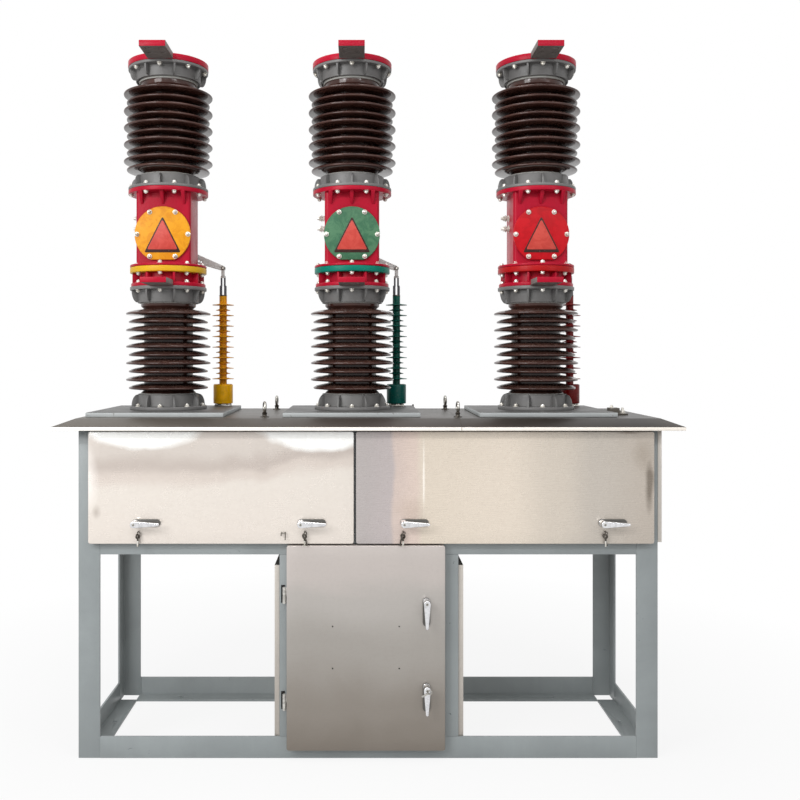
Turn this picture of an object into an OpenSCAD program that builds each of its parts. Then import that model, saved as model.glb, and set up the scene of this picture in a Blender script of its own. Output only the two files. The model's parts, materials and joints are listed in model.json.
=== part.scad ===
// Outdoor three-pole vacuum circuit breaker on a steel frame.
// Origin: middle of the frame's footprint, on the ground. +X runs along the row
// of poles, +Y points to the rear and +Z points up. All sizes are millimetres.

/* [Steel frame] */
// Width of the steel frame across its legs
frame_w = 2020; // [1900:10:2400]
// Depth of the steel frame across its legs
frame_d = 600; // [560:10:800]
// Leg length of the frame's angle steel
angle_w = 75; // [60:1:90]
// Thickness of the frame's angle steel
angle_t = 8; // [5:0.5:10]
// Height of the shelf under the mechanism box
shelf_z = 785; // [700:5:900]
// Gap left for the weld at the ends of the side rails
weld_gap = 0.3; // [0.2:0.1:0.8]
// Diameter of the anchor holes in the bottom rails
anchor_hole_d = 18; // [12:1:22]
// Distance between the anchor holes of a front or rear rail
anchor_span = 1514; // [1400:2:1700]
// Distance of an anchor hole from the outer face of its rail
anchor_inset = 48; // [35:1:55]

/* [Roof] */
// Height of the roof's flat top above the ground
roof_z = 1185; // [1150:5:1400]
// Thickness of the roof sheet
roof_t = 2; // [1:0.5:4]
// How far the flat top reaches past the frame on each side
roof_margin = 8; // [4:1:20]
// How far the eaves reach past the frame at the two ends
eave_side = 75; // [50:1:120]
// How far the eaves reach past the frame at front and rear
eave_front = 70; // [60:1:120]
// Drop from the flat top to the top of the eaves' lip
roof_drop = 26; // [15:1:50]
// Height of the eaves' lip
lip_h = 12; // [8:1:25]

/* [Mechanism box] */
// Left edge of the left front panel
left_panel_x0 = -968; // [-1000:1:-900]
// Right edge of the left front panel
left_panel_x1 = -50; // [-120:1:-45]
// Left edge of the right front panel
right_panel_x0 = -42; // [-44:1:40]
// Right edge of the right front panel
right_panel_x1 = 989; // [900:1:1000]
// Height of the lower edge of the front panels
panel_z0 = 753; // [752:1:770]
// Depth of a folded panel or door
pan_d = 25; // [15:1:35]
// Sheet thickness of panels and doors
sheet_t = 2; // [1:0.5:4]
// Gap behind a closed panel or door
seal_gap = 5; // [5:0.5:8]
// Thickness of the right side panel
side_panel_t = 14; // [4:1:20]
// Width of the posts between the panels
mullion_w = 50; // [40:1:70]
// Thickness of the floor sheet
floor_t = 3; // [1.5:0.5:5]

/* [Cabinet] */
// Sideways shift of the cabinet from the middle of the frame
cabinet_shift = 3; // [-40:1:40]
// Width of the cabinet body
cabinet_w = 660; // [640:1:800]
// Distance across the outer edges of the two cabinet posts
post_span = 624; // [560:1:634]
// Height of the cabinet body's top
cabinet_top = 671; // [500:1:690]
// Wall thickness of the cabinet body
cabinet_wall = 3; // [2:0.5:6]
// Left edge of the cabinet door
door_x0 = -282; // [-284:1:-260]
// Right edge of the cabinet door
door_x1 = 266; // [240:1:290]
// Height of the lower edge of the cabinet door
door_z0 = 39; // [20:1:60]
// Height of the upper edge of the cabinet door
door_z1 = 747; // [700:1:748]
// Depth of the folded cabinet door
door_d = 28; // [20:1:40]
// Diameter of the four rivet holes in the cabinet door
rivet_hole_d = 5; // [3:0.5:8]
// Distance between the rivet holes, sideways
rivet_span_x = 230; // [150:1:300]
// Distance between the rivet holes, up and down
rivet_span_z = 145; // [100:1:200]
// Height of the middle of the rivet holes
rivet_z = 396; // [300:1:450]
// Width of the duct between cabinet and mechanism box
duct_w = 360; // [200:5:420]
// Depth of the duct between cabinet and mechanism box
duct_d = 260; // [150:5:400]

/* [Hinges and levers] */
// Radius of the cabinet hinges' knuckles
knuckle_r = 6; // [5:0.5:8]
// Length of a cabinet hinge
hinge_len = 56; // [40:1:80]
// Height of the middle of the lower cabinet hinge
hinge_low_z = 203; // [150:1:260]
// Height of the middle of the upper cabinet hinge
hinge_high_z = 573; // [500:1:620]
// Radius of the panel hinges' knuckles
flap_knuckle_r = 4.5; // [3.5:0.5:5.5]
// Length of one knuckle of a panel hinge
flap_knuckle_len = 40; // [20:1:80]
// Radius of all hinge pins
pin_r = 2.5; // [1.5:0.5:3]
// Running clearance around pins and spindles
run_gap = 0.3; // [0.2:0.1:0.5]
// Half the width of the long base under a lever
lever_base_r = 13; // [12:0.5:18]
// Length of a lever's base from the spindle to its far round end
lever_base_len = 72; // [50:1:90]
// Height of a lever's base
lever_base_h = 6; // [4:0.5:10]
// Radius of the spindle that carries a lever
spindle_r = 6; // [4:0.5:8]
// Radius of a lever's hub
hub_r = 12; // [10:0.5:12]
// Height of a lever's hub
hub_h = 36; // [20:1:40]
// Length of a lever from its spindle to its tip
lever_len = 82; // [70:1:110]
// Half the width of a lever where it leaves its hub
lever_root_r = 9.5; // [7:0.5:11]
// Radius of a lever's tip
lever_tip_r = 5.5; // [4:0.5:8]
// Thickness of a lever
lever_t = 9; // [6:0.5:12]
// Height of the panel levers
panel_lever_z = 826; // [790:1:900]
// Distance of a panel lever's spindle from the panel's left edge
panel_lever_left = 166; // [120:1:220]
// Distance of a panel lever's spindle from the panel's right edge
panel_lever_right = 181; // [150:1:260]
// Distance of the door levers' spindles from the door's right edge
door_lever_inset = 65; // [40:1:100]
// Height of the lower door lever's spindle
door_lever_low_z = 261; // [220:1:300]
// Height of the upper door lever's spindle
door_lever_high_z = 555; // [450:1:600]

/* [Poles] */
// Distance between neighbouring poles
phase_spacing = 700; // [640:5:740]
// Sideways shift of the middle pole from the middle of the frame
pole_shift = -58; // [-80:1:20]
// Side of the square mounting plates
plate_w = 490; // [420:5:560]
// Thickness of the mounting plates
plate_t = 16; // [8:1:25]
// Radius of the cast flanges
flange_r = 143; // [136:1:148]
// Thickness of a cast flange
flange_t = 13; // [10:1:20]
// Radius of a casting where it holds the porcelain
neck_r = 114; // [112:1:120]
// Radius of the neck of the two upper castings
upper_neck_r = 121; // [112:1:126]
// Height of the casting on the mounting plate
base_casting_h = 58; // [45:1:70]
// Height of the casting under the housing
neck_casting_h = 60; // [45:1:70]
// Height of the casting on the housing
seat_casting_h = 52; // [45:1:70]
// Height of the casting under the top cap
top_casting_h = 52; // [45:1:70]
// Radius of the upper castings' flanges
upper_flange_r = 149; // [140:1:156]
// Thickness of the upper castings' flanges
upper_flange_t = 11; // [8:1:16]
// Number of bolts and of ribs on each flange
flange_bolts = 8; // [6:1:12]
// How far the foot of a casting's rib stays inside the flange's edge
rib_inset = 5; // [2:1:10]
// Thickness of a casting's rib
rib_t = 7; // [4:0.5:10]
// How far a casting's rib ends below the casting's end
rib_drop = 2; // [1:0.5:4]
// How far a lower casting's rib stands out of the neck at its thin end
rib_end = 2; // [1:0.5:8]
// How far an upper casting's rib stands out of the neck at its thin end
upper_rib_end = 7; // [1:0.5:10]

/* [Porcelain] */
// Radius of the porcelain's core
core_r = 92; // [86:1:100]
// Radius of the porcelain's plain ends
collar_r = 103; // [101:1:105]
// Length of the lower porcelain's plain ends
collar_h = 16; // [12:1:18]
// Length of the upper porcelain's lower plain end
upper_foot_h = 18; // [12:1:20]
// Length of the upper porcelain's upper plain end
upper_head_h = 25; // [20:1:30]
// Radius of the lower porcelain's large sheds
lower_shed_r = 158; // [150:1:170]
// Radius of the lower porcelain's small sheds
lower_small_r = 148; // [130:1:149]
// Radius of the upper porcelain's large sheds
upper_shed_r = 166; // [157:1:172]
// Radius of the upper porcelain's small sheds
upper_small_r = 155; // [135:1:156]
// Length of the lower porcelain
lower_porcelain_h = 343; // [330:1:400]
// Number of shed pairs on the lower porcelain
lower_pairs = 5; // [4:1:6]
// Length of the upper porcelain
upper_porcelain_h = 359; // [340:1:400]
// Number of shed pairs on the upper porcelain
upper_pairs = 5; // [4:1:6]
// Height of a shed's root above its tip
shed_rise = 16; // [12:1:17]
// Height of a shed's tip above the underside of its root
shed_fall = 11; // [7:1:12]
// Thickness of a shed's tip
shed_tip = 8; // [6:0.5:9]
// Height of the lowest shed's tip above the plain end, as a share of the shed pitch
shed_start = 0.22; // [0.1:0.01:0.45]

/* [Interrupter housing] */
// Radius of the housing's lowest flange
foot_flange_r = 139; // [130:1:146]
// Thickness of the housing's lowest flange
foot_flange_t = 14; // [10:1:16]
// Radius of the housing's round lower part
skirt_r = 108; // [104:1:116]
// Height of the round lower part
skirt_h = 37; // [30:1:60]
// Radius that the ribs of the round lower part reach
skirt_rib_r = 135; // [125:1:138]
// Thickness of the coloured phase ring
ring_t = 23; // [12:1:30]
// Thickness of the flange above the phase ring
mid_flange_t = 9; // [6:1:18]
// Radius of the spigot inside the phase ring
spigot_r = 104; // [95:1:110]
// Width of the box part of the housing
body_w = 203; // [180:1:206]
// How far the box part reaches forward of the pole's axis
body_front = 100; // [90:1:108]
// How far the box part reaches to the rear
body_rear = 68; // [60:1:100]
// Height of the box part
body_h = 266; // [250:1:320]
// Radius of the box part's upright edges
body_round = 14; // [6:1:25]
// Thickness of the housing's top flange
head_flange_t = 16; // [10:1:20]
// Height of the ribs under the top flange
gusset_h = 46; // [30:1:60]
// Reach of the ribs under the top flange
gusset_reach = 34; // [15:1:38]
// Width of the ribs under the top flange at their top
gusset_w = 16; // [8:1:24]
// Width of the ribs under the top flange at their foot
gusset_foot_w = 9; // [4:1:16]
// Thickness of the ribs under the top flange at their front edge
gusset_edge = 4; // [2:1:10]
// Sideways distance of the two outer ribs from the middle one
gusset_x = 78; // [40:1:84]
// Radius of the round front cover
cover_r = 103.5; // [90:0.5:108]
// Thickness of the front cover
cover_t = 10; // [6:1:16]
// Height of the cover's middle above the box part's foot
cover_z = 107; // [104:1:150]
// Distance of the cover's flat lower edge below its middle
cover_flat = 94; // [85:1:96]

/* [Terminals] */
// Radius of the top cap
cap_r = 150; // [135:1:156]
// Thickness of the top cap and its terminal pad
cap_t = 21; // [12:1:28]
// Width of the upper terminal pad
pad_w = 93; // [70:1:110]
// Reach of the upper terminal pad from the pole's axis
pad_reach = 282; // [240:1:300]
// Distance between neighbouring terminal holes
pad_pitch = 49; // [36:1:56]
// Diameter of the terminal holes
pad_hole_d = 14; // [10:0.5:18]
// Distance of the outer terminal holes from the pad's end
pad_edge = 24; // [18:1:30]
// Reach of the lower terminal from the pole's axis
low_pad_reach = 268; // [240:1:300]
// Thickness of the lower terminal
low_pad_t = 19; // [17:1:24]

/* [Side insulators] */
// Sideways distance of a side insulator from its pole's axis
side_x = 177; // [170:1:200]
// Distance of a side insulator to the rear of its pole's axis
side_y = 208; // [190:1:212]
// Side of a side insulator's base plate
side_base_w = 62; // [56:1:64]
// Thickness of a side insulator's base plate
side_base_t = 10; // [6:1:14]
// Radius of the can at a side insulator's foot
can_r = 39; // [34:1:42]
// Height of the can
can_h = 78; // [60:1:100]
// Radius of a side insulator's rod
rod_r = 15; // [12:0.5:18]
// Length of the rod above the can
rod_h = 355; // [330:1:370]
// Number of large sheds on a side insulator
side_sheds = 8; // [6:1:8]
// Radius of a side insulator's large sheds
side_shed_r = 43; // [36:1:46]
// Radius of a side insulator's small sheds
side_small_r = 29; // [24:1:33]
// Height of a side insulator's shed root above its tip
side_rise = 5; // [3:0.5:7]
// Height of a side insulator's shed tip above the underside of its root
side_fall = 3; // [2:0.5:5]
// Thickness of the tip of a side insulator's shed
side_tip = 2.5; // [1.5:0.5:4]
// Width of the link bar at the stud
bar_w = 38; // [30:1:44]
// Width of the link bar at the fork
bar_tip_w = 20; // [16:1:24]
// Thickness of the link bar
bar_t = 6; // [4:0.5:8]
// Radius of a fork's two sleeved prongs
prong_r = 5; // [4:0.5:6]
// Distance between a fork's two prongs
prong_gap = 17.6; // [16:0.2:24]
// Height of a fork from the rod's end to its head
prong_h = 104; // [80:1:120]
// Height of the sleeves on a fork's prongs
sleeve_h = 37; // [20:1:60]
// Radius of the bolt through the link bar
pin_bolt_r = 4; // [3:0.5:5]
// Slope of the link bar in degrees
bar_slope = 20; // [5:1:24]
// Diameter of the two spare holes in the link bar
bar_hole_d = 7; // [4:0.5:10]
// Distance of the nearer spare hole from the pin
bar_hole_near = 92; // [40:1:96]
// Distance between the two spare holes
bar_hole_pitch = 10; // [9:0.5:12]
// Distance of the spare holes below the link bar's middle line
bar_hole_drop = 6; // [0:0.5:10]
// Sideways distance of a link stud from its pole's axis
stud_x = 56; // [40:1:70]
// Radius of a link stud
stud_r = 12; // [8:1:16]

/* [Lifting and earthing] */
// Position of the left lifting eyes
eye_x0 = -367; // [-380:1:-350]
// Position of the right lifting eyes
eye_x1 = 319; // [300:1:330]
// Distance of the lifting eyes from the middle, front and rear
eye_y = 240; // [200:1:270]
// Radius of a lifting eye's collar
eye_collar_r = 15; // [10:0.5:18]
// Height of a lifting eye's collar
eye_collar_h = 14; // [8:1:20]
// Radius of a lifting eye from its middle to the middle of its bar
eye_r = 16; // [14:0.5:20]
// Radius of a lifting eye's bar
eye_bar_r = 6; // [4:0.5:7]
// Height of the earth lug
earth_h = 26; // [16:1:34]
// Width of the earth lug
earth_w = 68; // [45:1:80]
// Depth of the earth lug
earth_d = 40; // [24:1:60]
// Thickness of the earth lug
earth_t = 6; // [4:0.5:8]
// Width of the earth lug's high block beside the mounting plate
earth_block_w = 37; // [20:1:40]
// Distance of the earth lug from the right mounting plate
earth_gap = 2; // [1:1:20]
// Position of the earth lug's middle, forward of the middle of the frame
earth_y = 110; // [40:1:200]
// Diameter of the hole in the earth lug
earth_hole_d = 11; // [8:0.5:14]

/* [Hidden] */
$fn = 48;
eps = 1;

frame_color = [0.56, 0.60, 0.62];
steel_color = [0.72, 0.70, 0.67];
plate_color = [0.64, 0.65, 0.66];
cast_color = [0.38, 0.39, 0.41];
porcelain_color = [0.12, 0.07, 0.06];
red_color = [0.72, 0.14, 0.20];
zinc_color = [0.70, 0.70, 0.70];
chrome_color = [0.82, 0.82, 0.83];
phase_colors = [[0.85, 0.62, 0.14], [0.08, 0.45, 0.38], [0.72, 0.16, 0.18]];
side_colors = [[0.82, 0.60, 0.10], [0.04, 0.34, 0.28], [0.45, 0.12, 0.12]];

// Frame
half_w = frame_w / 2;
half_d = frame_d / 2;
roof_under = roof_z - roof_t;
rail_front_z = shelf_z - angle_w;

// Front panels and their hinges
panel_back = -half_d - seal_gap;
panel_front = panel_back - pan_d;
panel_gap_top = 5;
eave_z = roof_z - roof_drop;
panel_z1 = eave_z - lip_h - panel_gap_top;
flap_axis_y = panel_back - flap_knuckle_r - run_gap * 2;
flap_lift = 1.5;
flap_axis_z = panel_z1 + flap_knuckle_r + flap_lift;
flap_hinges = [0.1, 0.5, 0.9];

// Cabinet and its hinges
cabinet_x0 = cabinet_shift - cabinet_w / 2;
cabinet_play = 2;
cabinet_front = -half_d + angle_t + cabinet_play;
door_back = -half_d - seal_gap;
door_front = door_back - door_d;
knuckle_side = 2.5;
hinge_x = door_x0 - knuckle_r - knuckle_side;
hinge_y = door_back - door_d * 0.6;

// Pole heights, each measured from the ground
pole_x = [for (i = [-1:1]) pole_shift + i * phase_spacing];
plate_top = roof_z + plate_t;
z_lower = plate_top + base_casting_h;
z_neck = z_lower + lower_porcelain_h;
z_foot = z_neck + neck_casting_h;
z_ring = z_foot + foot_flange_t + skirt_h;
z_mid = z_ring + ring_t;
z_body = z_mid + mid_flange_t;
z_head = z_body + body_h;
z_upper = z_head + head_flange_t;
z_upper_neck = z_upper + seat_casting_h;
z_top_neck = z_upper_neck + upper_porcelain_h;
z_cap = z_top_neck + top_casting_h;
step = 360 / flange_bolts;

// Side insulators
z_can = plate_top + side_base_t;
z_rod = z_can + can_h;
z_tip = z_rod + rod_h;
pin_rise = 8;
pin_z = z_tip + prong_h + pin_rise;
stud_z = pin_z + (side_x - stud_x) * tan(bar_slope);

// ---------------------------------------------------------------- frame

// An angle bar along +X: one flange lies on z = 0, the other stands on y = 0.
module angle_bar(length) {
    rotate([90, 0, 90]) linear_extrude(length) polygon([
        [0, 0], [angle_w, 0], [angle_w, angle_t], [angle_t, angle_t], [angle_t, angle_w], [0, angle_w]
    ]);
}

// Four rails between the legs, with their lying flanges at the bottom.
module rail_ring() {
    long = frame_w - 2 * angle_w;
    short = frame_d - 2 * angle_w - 2 * weld_gap;
    for (m = [0, 1]) mirror([0, m, 0])
        translate([-long / 2, -half_d, 0]) angle_bar(long);
    for (m = [0, 1]) mirror([m, 0, 0])
        translate([-half_w, short / 2, 0]) rotate([0, 0, -90]) angle_bar(short);
}

module corner_legs() {
    color(frame_color)
    for (mx = [0, 1], my = [0, 1]) mirror([mx, 0, 0]) mirror([0, my, 0])
        translate([-half_w, -half_d, 0]) linear_extrude(roof_under) polygon([
            [0, 0], [angle_w, 0], [angle_w, angle_t], [angle_t, angle_t], [angle_t, angle_w], [0, angle_w]
        ]);
}

module bottom_rails() {
    color(frame_color)
    difference() {
        rail_ring();
        for (x = [-1, 1], y = [-1, 1])
            translate([x * anchor_span / 2, y * (half_d - anchor_inset), -eps])
                cylinder(d = anchor_hole_d, h = angle_t + 2 * eps);
        for (x = [-1, 1])
            translate([x * (half_w - anchor_inset), 0, -eps])
                cylinder(d = anchor_hole_d, h = angle_t + 2 * eps);
    }
}

module shelf_rails() {
    color(frame_color) translate([0, 0, shelf_z]) mirror([0, 0, 1]) rail_ring();
}

module roof_rails() {
    color(frame_color) translate([0, 0, roof_under]) mirror([0, 0, 1]) rail_ring();
}

// Two upright angles that carry the cabinet door and its hinges.
module cabinet_posts() {
    color(frame_color)
    for (m = [0, 1]) translate([cabinet_shift, 0, 0]) mirror([m, 0, 0])
        translate([-post_span / 2, -half_d, angle_w]) linear_extrude(rail_front_z - angle_w) polygon([
            [0, 0], [angle_w, 0], [angle_w, angle_t], [angle_t, angle_t], [angle_t, angle_w], [0, angle_w]
        ]);
}

// Flat posts behind the joint between two panels, front and rear.
module box_mullions() {
    middle = (left_panel_x1 + right_panel_x0) / 2;
    z0 = shelf_z;
    color(frame_color)
    for (m = [0, 1]) mirror([0, m, 0])
        translate([middle - mullion_w / 2, -half_d, z0])
            cube([mullion_w, angle_t, roof_under - angle_w - z0]);
}

// ---------------------------------------------------------------- mechanism box

module box_floor() {
    color(steel_color)
    translate([-half_w + angle_t + weld_gap, -half_d + angle_t + weld_gap, shelf_z])
        cube([frame_w - 2 * (angle_t + weld_gap), frame_d - 2 * (angle_t + weld_gap), floor_t]);
}

// The right panel stands on the outside of the legs, the left one behind them.
module side_panels() {
    color(steel_color) {
        translate([half_w, -half_d, panel_z0])
            cube([side_panel_t, frame_d, panel_z1 - panel_z0]);
        translate([-half_w + angle_t, -half_d + angle_t + weld_gap, shelf_z + floor_t])
            cube([sheet_t, frame_d - 2 * (angle_t + weld_gap), roof_under - angle_w - shelf_z - floor_t]);
    }
}

// A folded sheet panel that faces -Y, open at its back.
module pan(w, h, d) {
    difference() {
        cube([w, d, h]);
        translate([sheet_t, sheet_t, sheet_t]) cube([w - 2 * sheet_t, d, h - 2 * sheet_t]);
    }
}

module rear_panels() {
    color(steel_color)
    for (span = [[left_panel_x0, left_panel_x1], [right_panel_x0, right_panel_x1]])
        translate([span[1], half_d + pan_d, panel_z0]) rotate([0, 0, 180])
            pan(span[1] - span[0], panel_z1 - panel_z0, pan_d);
}

module roof_form(w, d, inset) {
    lip = lip_h + inset * 2;
    hull() {
        translate([-w / 2, -d / 2, roof_z - roof_t]) cube([w, d, roof_t]);
        translate([-half_w - eave_side + inset, -half_d - eave_front + inset, eave_z - lip_h])
            cube([frame_w + 2 * (eave_side - inset), frame_d + 2 * (eave_front - inset), lip - 2 * inset]);
    }
}

module roof() {
    top_w = frame_w + 2 * roof_margin;
    top_d = frame_d + 2 * roof_margin;
    color(steel_color)
    difference() {
        roof_form(top_w, top_d, 0);
        translate([0, 0, -roof_t]) roof_form(top_w, top_d, roof_t);
        translate([-half_w - eave_side + roof_t, -half_d - eave_front + roof_t, eave_z - lip_h - eps])
            cube([frame_w + 2 * (eave_side - roof_t), frame_d + 2 * (eave_front - roof_t), eps + roof_t]);
    }
}

module mounting_plates() {
    color(plate_color)
    for (x = pole_x) translate([x - plate_w / 2, -plate_w / 2, roof_z]) cube([plate_w, plate_w, plate_t]);
}

module lifting_eyes() {
    color(zinc_color)
    for (x = [eye_x0, eye_x1], y = [-eye_y, eye_y]) translate([x, y, roof_z]) {
        cylinder(r = eye_collar_r, h = eye_collar_h);
        translate([0, 0, eye_collar_h + eye_r + eye_bar_r - eps]) rotate([0, 90, 0])
            rotate_extrude() translate([eye_r, 0]) circle(r = eye_bar_r, $fn = 24);
    }
}

module earth_lug() {
    color(cast_color)
    translate([pole_x[2] + plate_w / 2 + earth_gap, -earth_y - earth_d / 2, roof_z]) difference() {
        union() {
            cube([earth_w, earth_d, earth_t]);
            cube([earth_block_w, earth_d, earth_h]);
        }
        translate([(earth_block_w + earth_w) / 2, earth_d / 2, -eps])
            cylinder(d = earth_hole_d, h = earth_t + 2 * eps);
    }
}

// ---------------------------------------------------------------- cabinet

module cabinet_body() {
    depth = -2 * cabinet_front;
    flange = (cabinet_w - post_span) / 2 - 1;
    h = cabinet_top - angle_t;
    color(steel_color)
    translate([cabinet_x0, cabinet_front, angle_t]) difference() {
        cube([cabinet_w, depth, h]);
        translate([cabinet_wall, cabinet_wall, cabinet_wall])
            cube([cabinet_w - 2 * cabinet_wall, depth - 2 * cabinet_wall, h - 2 * cabinet_wall]);
        translate([flange, -eps, angle_w])
            cube([cabinet_w - 2 * flange, cabinet_wall + 2 * eps, h - angle_w - cabinet_wall]);
        for (m = [0, 1]) translate([cabinet_w / 2, 0, 0]) mirror([m, 0, 0])
            translate([-post_span / 2 - weld_gap, -eps, angle_w - angle_t - weld_gap])
                cube([angle_t + 2 * weld_gap, angle_w - angle_t - cabinet_play + weld_gap + eps, h]);
    }
}

// Closed duct that carries the drive rod from the cabinet up into the box.
module drive_duct() {
    h = shelf_z - cabinet_top;
    color(steel_color)
    translate([cabinet_shift, 0, cabinet_top]) difference() {
        translate([-duct_w / 2, -duct_d / 2, 0]) cube([duct_w, duct_d, h]);
        translate([-duct_w / 2 + cabinet_wall, -duct_d / 2 + cabinet_wall, -eps])
            cube([duct_w - 2 * cabinet_wall, duct_d - 2 * cabinet_wall, h + 2 * eps]);
    }
}

// ---------------------------------------------------------------- hinges

// The halves that stay on the frame, each with its pin.
module fixed_hinges() {
    half = hinge_len / 2;
    lug = flap_knuckle_len;
    color(zinc_color) {
        for (z = [hinge_low_z, hinge_high_z]) translate([hinge_x, hinge_y, z - half]) {
            cylinder(r = knuckle_r, h = half - run_gap);
            cylinder(r = pin_r, h = hinge_len);
            translate([-knuckle_r, 0, 0]) cube([knuckle_r + 2, -half_d - hinge_y, half - run_gap]);
        }
        for (span = [[left_panel_x0, left_panel_x1], [right_panel_x0, right_panel_x1]], f = flap_hinges)
            translate([span[0] + f * (span[1] - span[0]), flap_axis_y, flap_axis_z]) {
                rotate([0, 90, 0]) cylinder(r = flap_knuckle_r, h = lug);
                rotate([0, -90, 0]) cylinder(r = pin_r, h = lug);
                cube([lug, -half_d - flap_axis_y, flap_knuckle_r]);
            }
    }
}

// A knuckle of a panel hinge with the strap that joins it to the panel.
module flap_knuckle() {
    lug = flap_knuckle_len - run_gap;
    translate([-run_gap, 0, 0]) difference() {
        union() {
            rotate([0, -90, 0]) cylinder(r = flap_knuckle_r, h = lug);
            translate([-lug, -flap_knuckle_r, panel_z1 - sheet_t / 2 - flap_axis_z])
                cube([lug, sheet_t, flap_axis_z - panel_z1 + sheet_t / 2]);
        }
        translate([-lug - eps, 0, 0]) rotate([0, 90, 0]) cylinder(r = pin_r + run_gap, h = lug + 2 * eps);
    }
}

// The long base of a lever on the front of a panel or door. It points along +X.
module lever_base() {
    rotate([90, 0, 0]) {
        cylinder(r = lever_base_r, h = lever_base_h);
        translate([0, -lever_base_r, 0]) cube([lever_base_len, 2 * lever_base_r, lever_base_h]);
        translate([lever_base_len, 0, 0]) cylinder(r = lever_base_r, h = lever_base_h);
    }
}

module spindle_hole(depth) {
    translate([0, depth + eps, 0]) rotate([90, 0, 0])
        cylinder(r = spindle_r + run_gap, h = depth + lever_base_h + 2 * eps);
}

module flap(x0, x1) {
    levers = [x0 + panel_lever_left, x1 - panel_lever_right];
    color(steel_color)
    difference() {
        union() {
            translate([x0, panel_front, panel_z0]) pan(x1 - x0, panel_z1 - panel_z0, pan_d);
            for (f = flap_hinges) translate([x0 + f * (x1 - x0), flap_axis_y, flap_axis_z]) flap_knuckle();
            for (x = levers) translate([x, panel_front, panel_lever_z]) lever_base();
        }
        for (x = levers) translate([x, panel_front, panel_lever_z]) spindle_hole(sheet_t);
    }
}

module cabinet_door() {
    half = hinge_len / 2;
    lever_x = door_x1 - door_lever_inset;
    color(steel_color)
    difference() {
        union() {
            translate([door_x0, door_front, door_z0]) pan(door_x1 - door_x0, door_z1 - door_z0, door_d);
            for (z = [hinge_low_z, hinge_high_z]) translate([hinge_x, hinge_y, z]) {
                cylinder(r = knuckle_r, h = half);
                translate([0, -knuckle_r / 2, 0]) cube([door_x0 - hinge_x + sheet_t / 2, knuckle_r, half]);
            }
            for (z = [door_lever_low_z, door_lever_high_z])
                translate([lever_x, door_front, z]) rotate([0, 90, 0]) lever_base();
        }
        for (z = [hinge_low_z, hinge_high_z]) translate([hinge_x, hinge_y, z - eps])
            cylinder(r = pin_r + run_gap, h = half + 2 * eps);
        for (z = [door_lever_low_z, door_lever_high_z])
            translate([lever_x, door_front, z]) spindle_hole(sheet_t);
        for (x = [-1, 1], z = [-1, 1])
            translate([(door_x0 + door_x1) / 2 + x * rivet_span_x / 2, door_front - eps,
                       rivet_z + z * rivet_span_z / 2])
                rotate([-90, 0, 0]) cylinder(d = rivet_hole_d, h = sheet_t + 2 * eps);
    }
}

// A lever whose spindle lies on Y at the origin and whose arm points along +X.
module lever() {
    color(chrome_color)
    translate([0, -lever_base_h, 0]) {
        translate([0, lever_base_h + sheet_t, 0]) rotate([90, 0, 0])
            cylinder(r = spindle_r, h = lever_base_h + sheet_t + run_gap + eps);
        translate([0, -run_gap, 0]) rotate([90, 0, 0]) cylinder(r = hub_r, h = hub_h);
        translate([0, -run_gap - hub_h + lever_t, 0]) rotate([90, 0, 0]) linear_extrude(lever_t) {
            polygon([
                [0, -lever_root_r], [lever_len, -lever_tip_r], [lever_len, lever_tip_r], [0, lever_root_r]
            ]);
            translate([lever_len, 0]) circle(r = lever_tip_r);
        }
    }
}

module panel_lever(x) {
    translate([x, panel_front, panel_lever_z]) lever();
}

module door_lever(z) {
    translate([door_x1 - door_lever_inset, door_front, z]) rotate([0, 90, 0]) lever();
}

// ---------------------------------------------------------------- poles

module at_pole(i) {
    translate([pole_x[i], 0, 0]) children();
}

// A casting that stands on its flange of radius r and thickness t. Its ribs run along the neck,
// and each still stands out by rib_out at its thin end.
module casting(r, t, neck, h, first_rib, rib_out) {
    rotate_extrude() polygon([[0, 0], [r, 0], [r, t], [neck, t], [neck, h], [0, h]]);
    root = neck - 2 * rib_t;
    top = neck + rib_out;
    reach = r - rib_inset - top;
    rise = h - t - rib_drop;
    for (i = [0:flange_bolts - 1]) rotate([0, 0, first_rib + i * step]) translate([0, rib_t / 2, 0])
        rotate([90, 0, 0]) linear_extrude(rib_t) polygon(concat(
            [[root, t - eps], [top + reach, t - eps]],
            [for (a = [15:15:90]) [top + reach * cos(a), t + rise * sin(a)]],
            [[root, t + rise]]));
}

module lower_casting(h) {
    casting(flange_r, flange_t, neck_r, h, step / 2, rib_end);
}

module upper_casting(h, first_rib) {
    casting(upper_flange_r, upper_flange_t, upper_neck_r, h, first_rib, upper_rib_end);
}

module castings() {
    color(cast_color) {
        translate([0, 0, plate_top]) lower_casting(base_casting_h);
        translate([0, 0, z_foot]) mirror([0, 0, 1]) lower_casting(neck_casting_h);
        translate([0, 0, z_upper]) upper_casting(seat_casting_h, 0);
        translate([0, 0, z_cap]) mirror([0, 0, 1]) upper_casting(top_casting_h, step / 2);
    }
}

// Outline of one leaf-shaped shed whose tip is at height z.
function shed(r, z, root, rise, fall, tip) = [
    [root, z - fall], [r - 2 * tip, z - 0.7 * tip], [r - tip / 2, z - tip / 2], [r, z - tip / 5],
    [r, z + tip / 5], [r - tip / 2, z + tip / 2], [r - 2 * tip, z + 0.95 * tip], [root, z + rise]
];

// Porcelain from z = 0 to z = h: pairs of one small and one large shed between the plain ends.
module porcelain(h, pairs, foot_h, head_h, large_r, small_r) {
    pitch = (h - foot_h - head_h) / (2 * pairs);
    sheds = [for (i = [0:2 * pairs - 1])
        each shed(i % 2 == 0 ? small_r : large_r, foot_h + (i + shed_start) * pitch, core_r, shed_rise,
                  shed_fall, shed_tip)];
    color(porcelain_color)
    rotate_extrude($fn = 96) polygon(concat(
        [[0, 0], [collar_r, 0], [collar_r, foot_h / 4]], sheds,
        [[collar_r, h - head_h / 2], [collar_r, h], [0, h]]));
}

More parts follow.
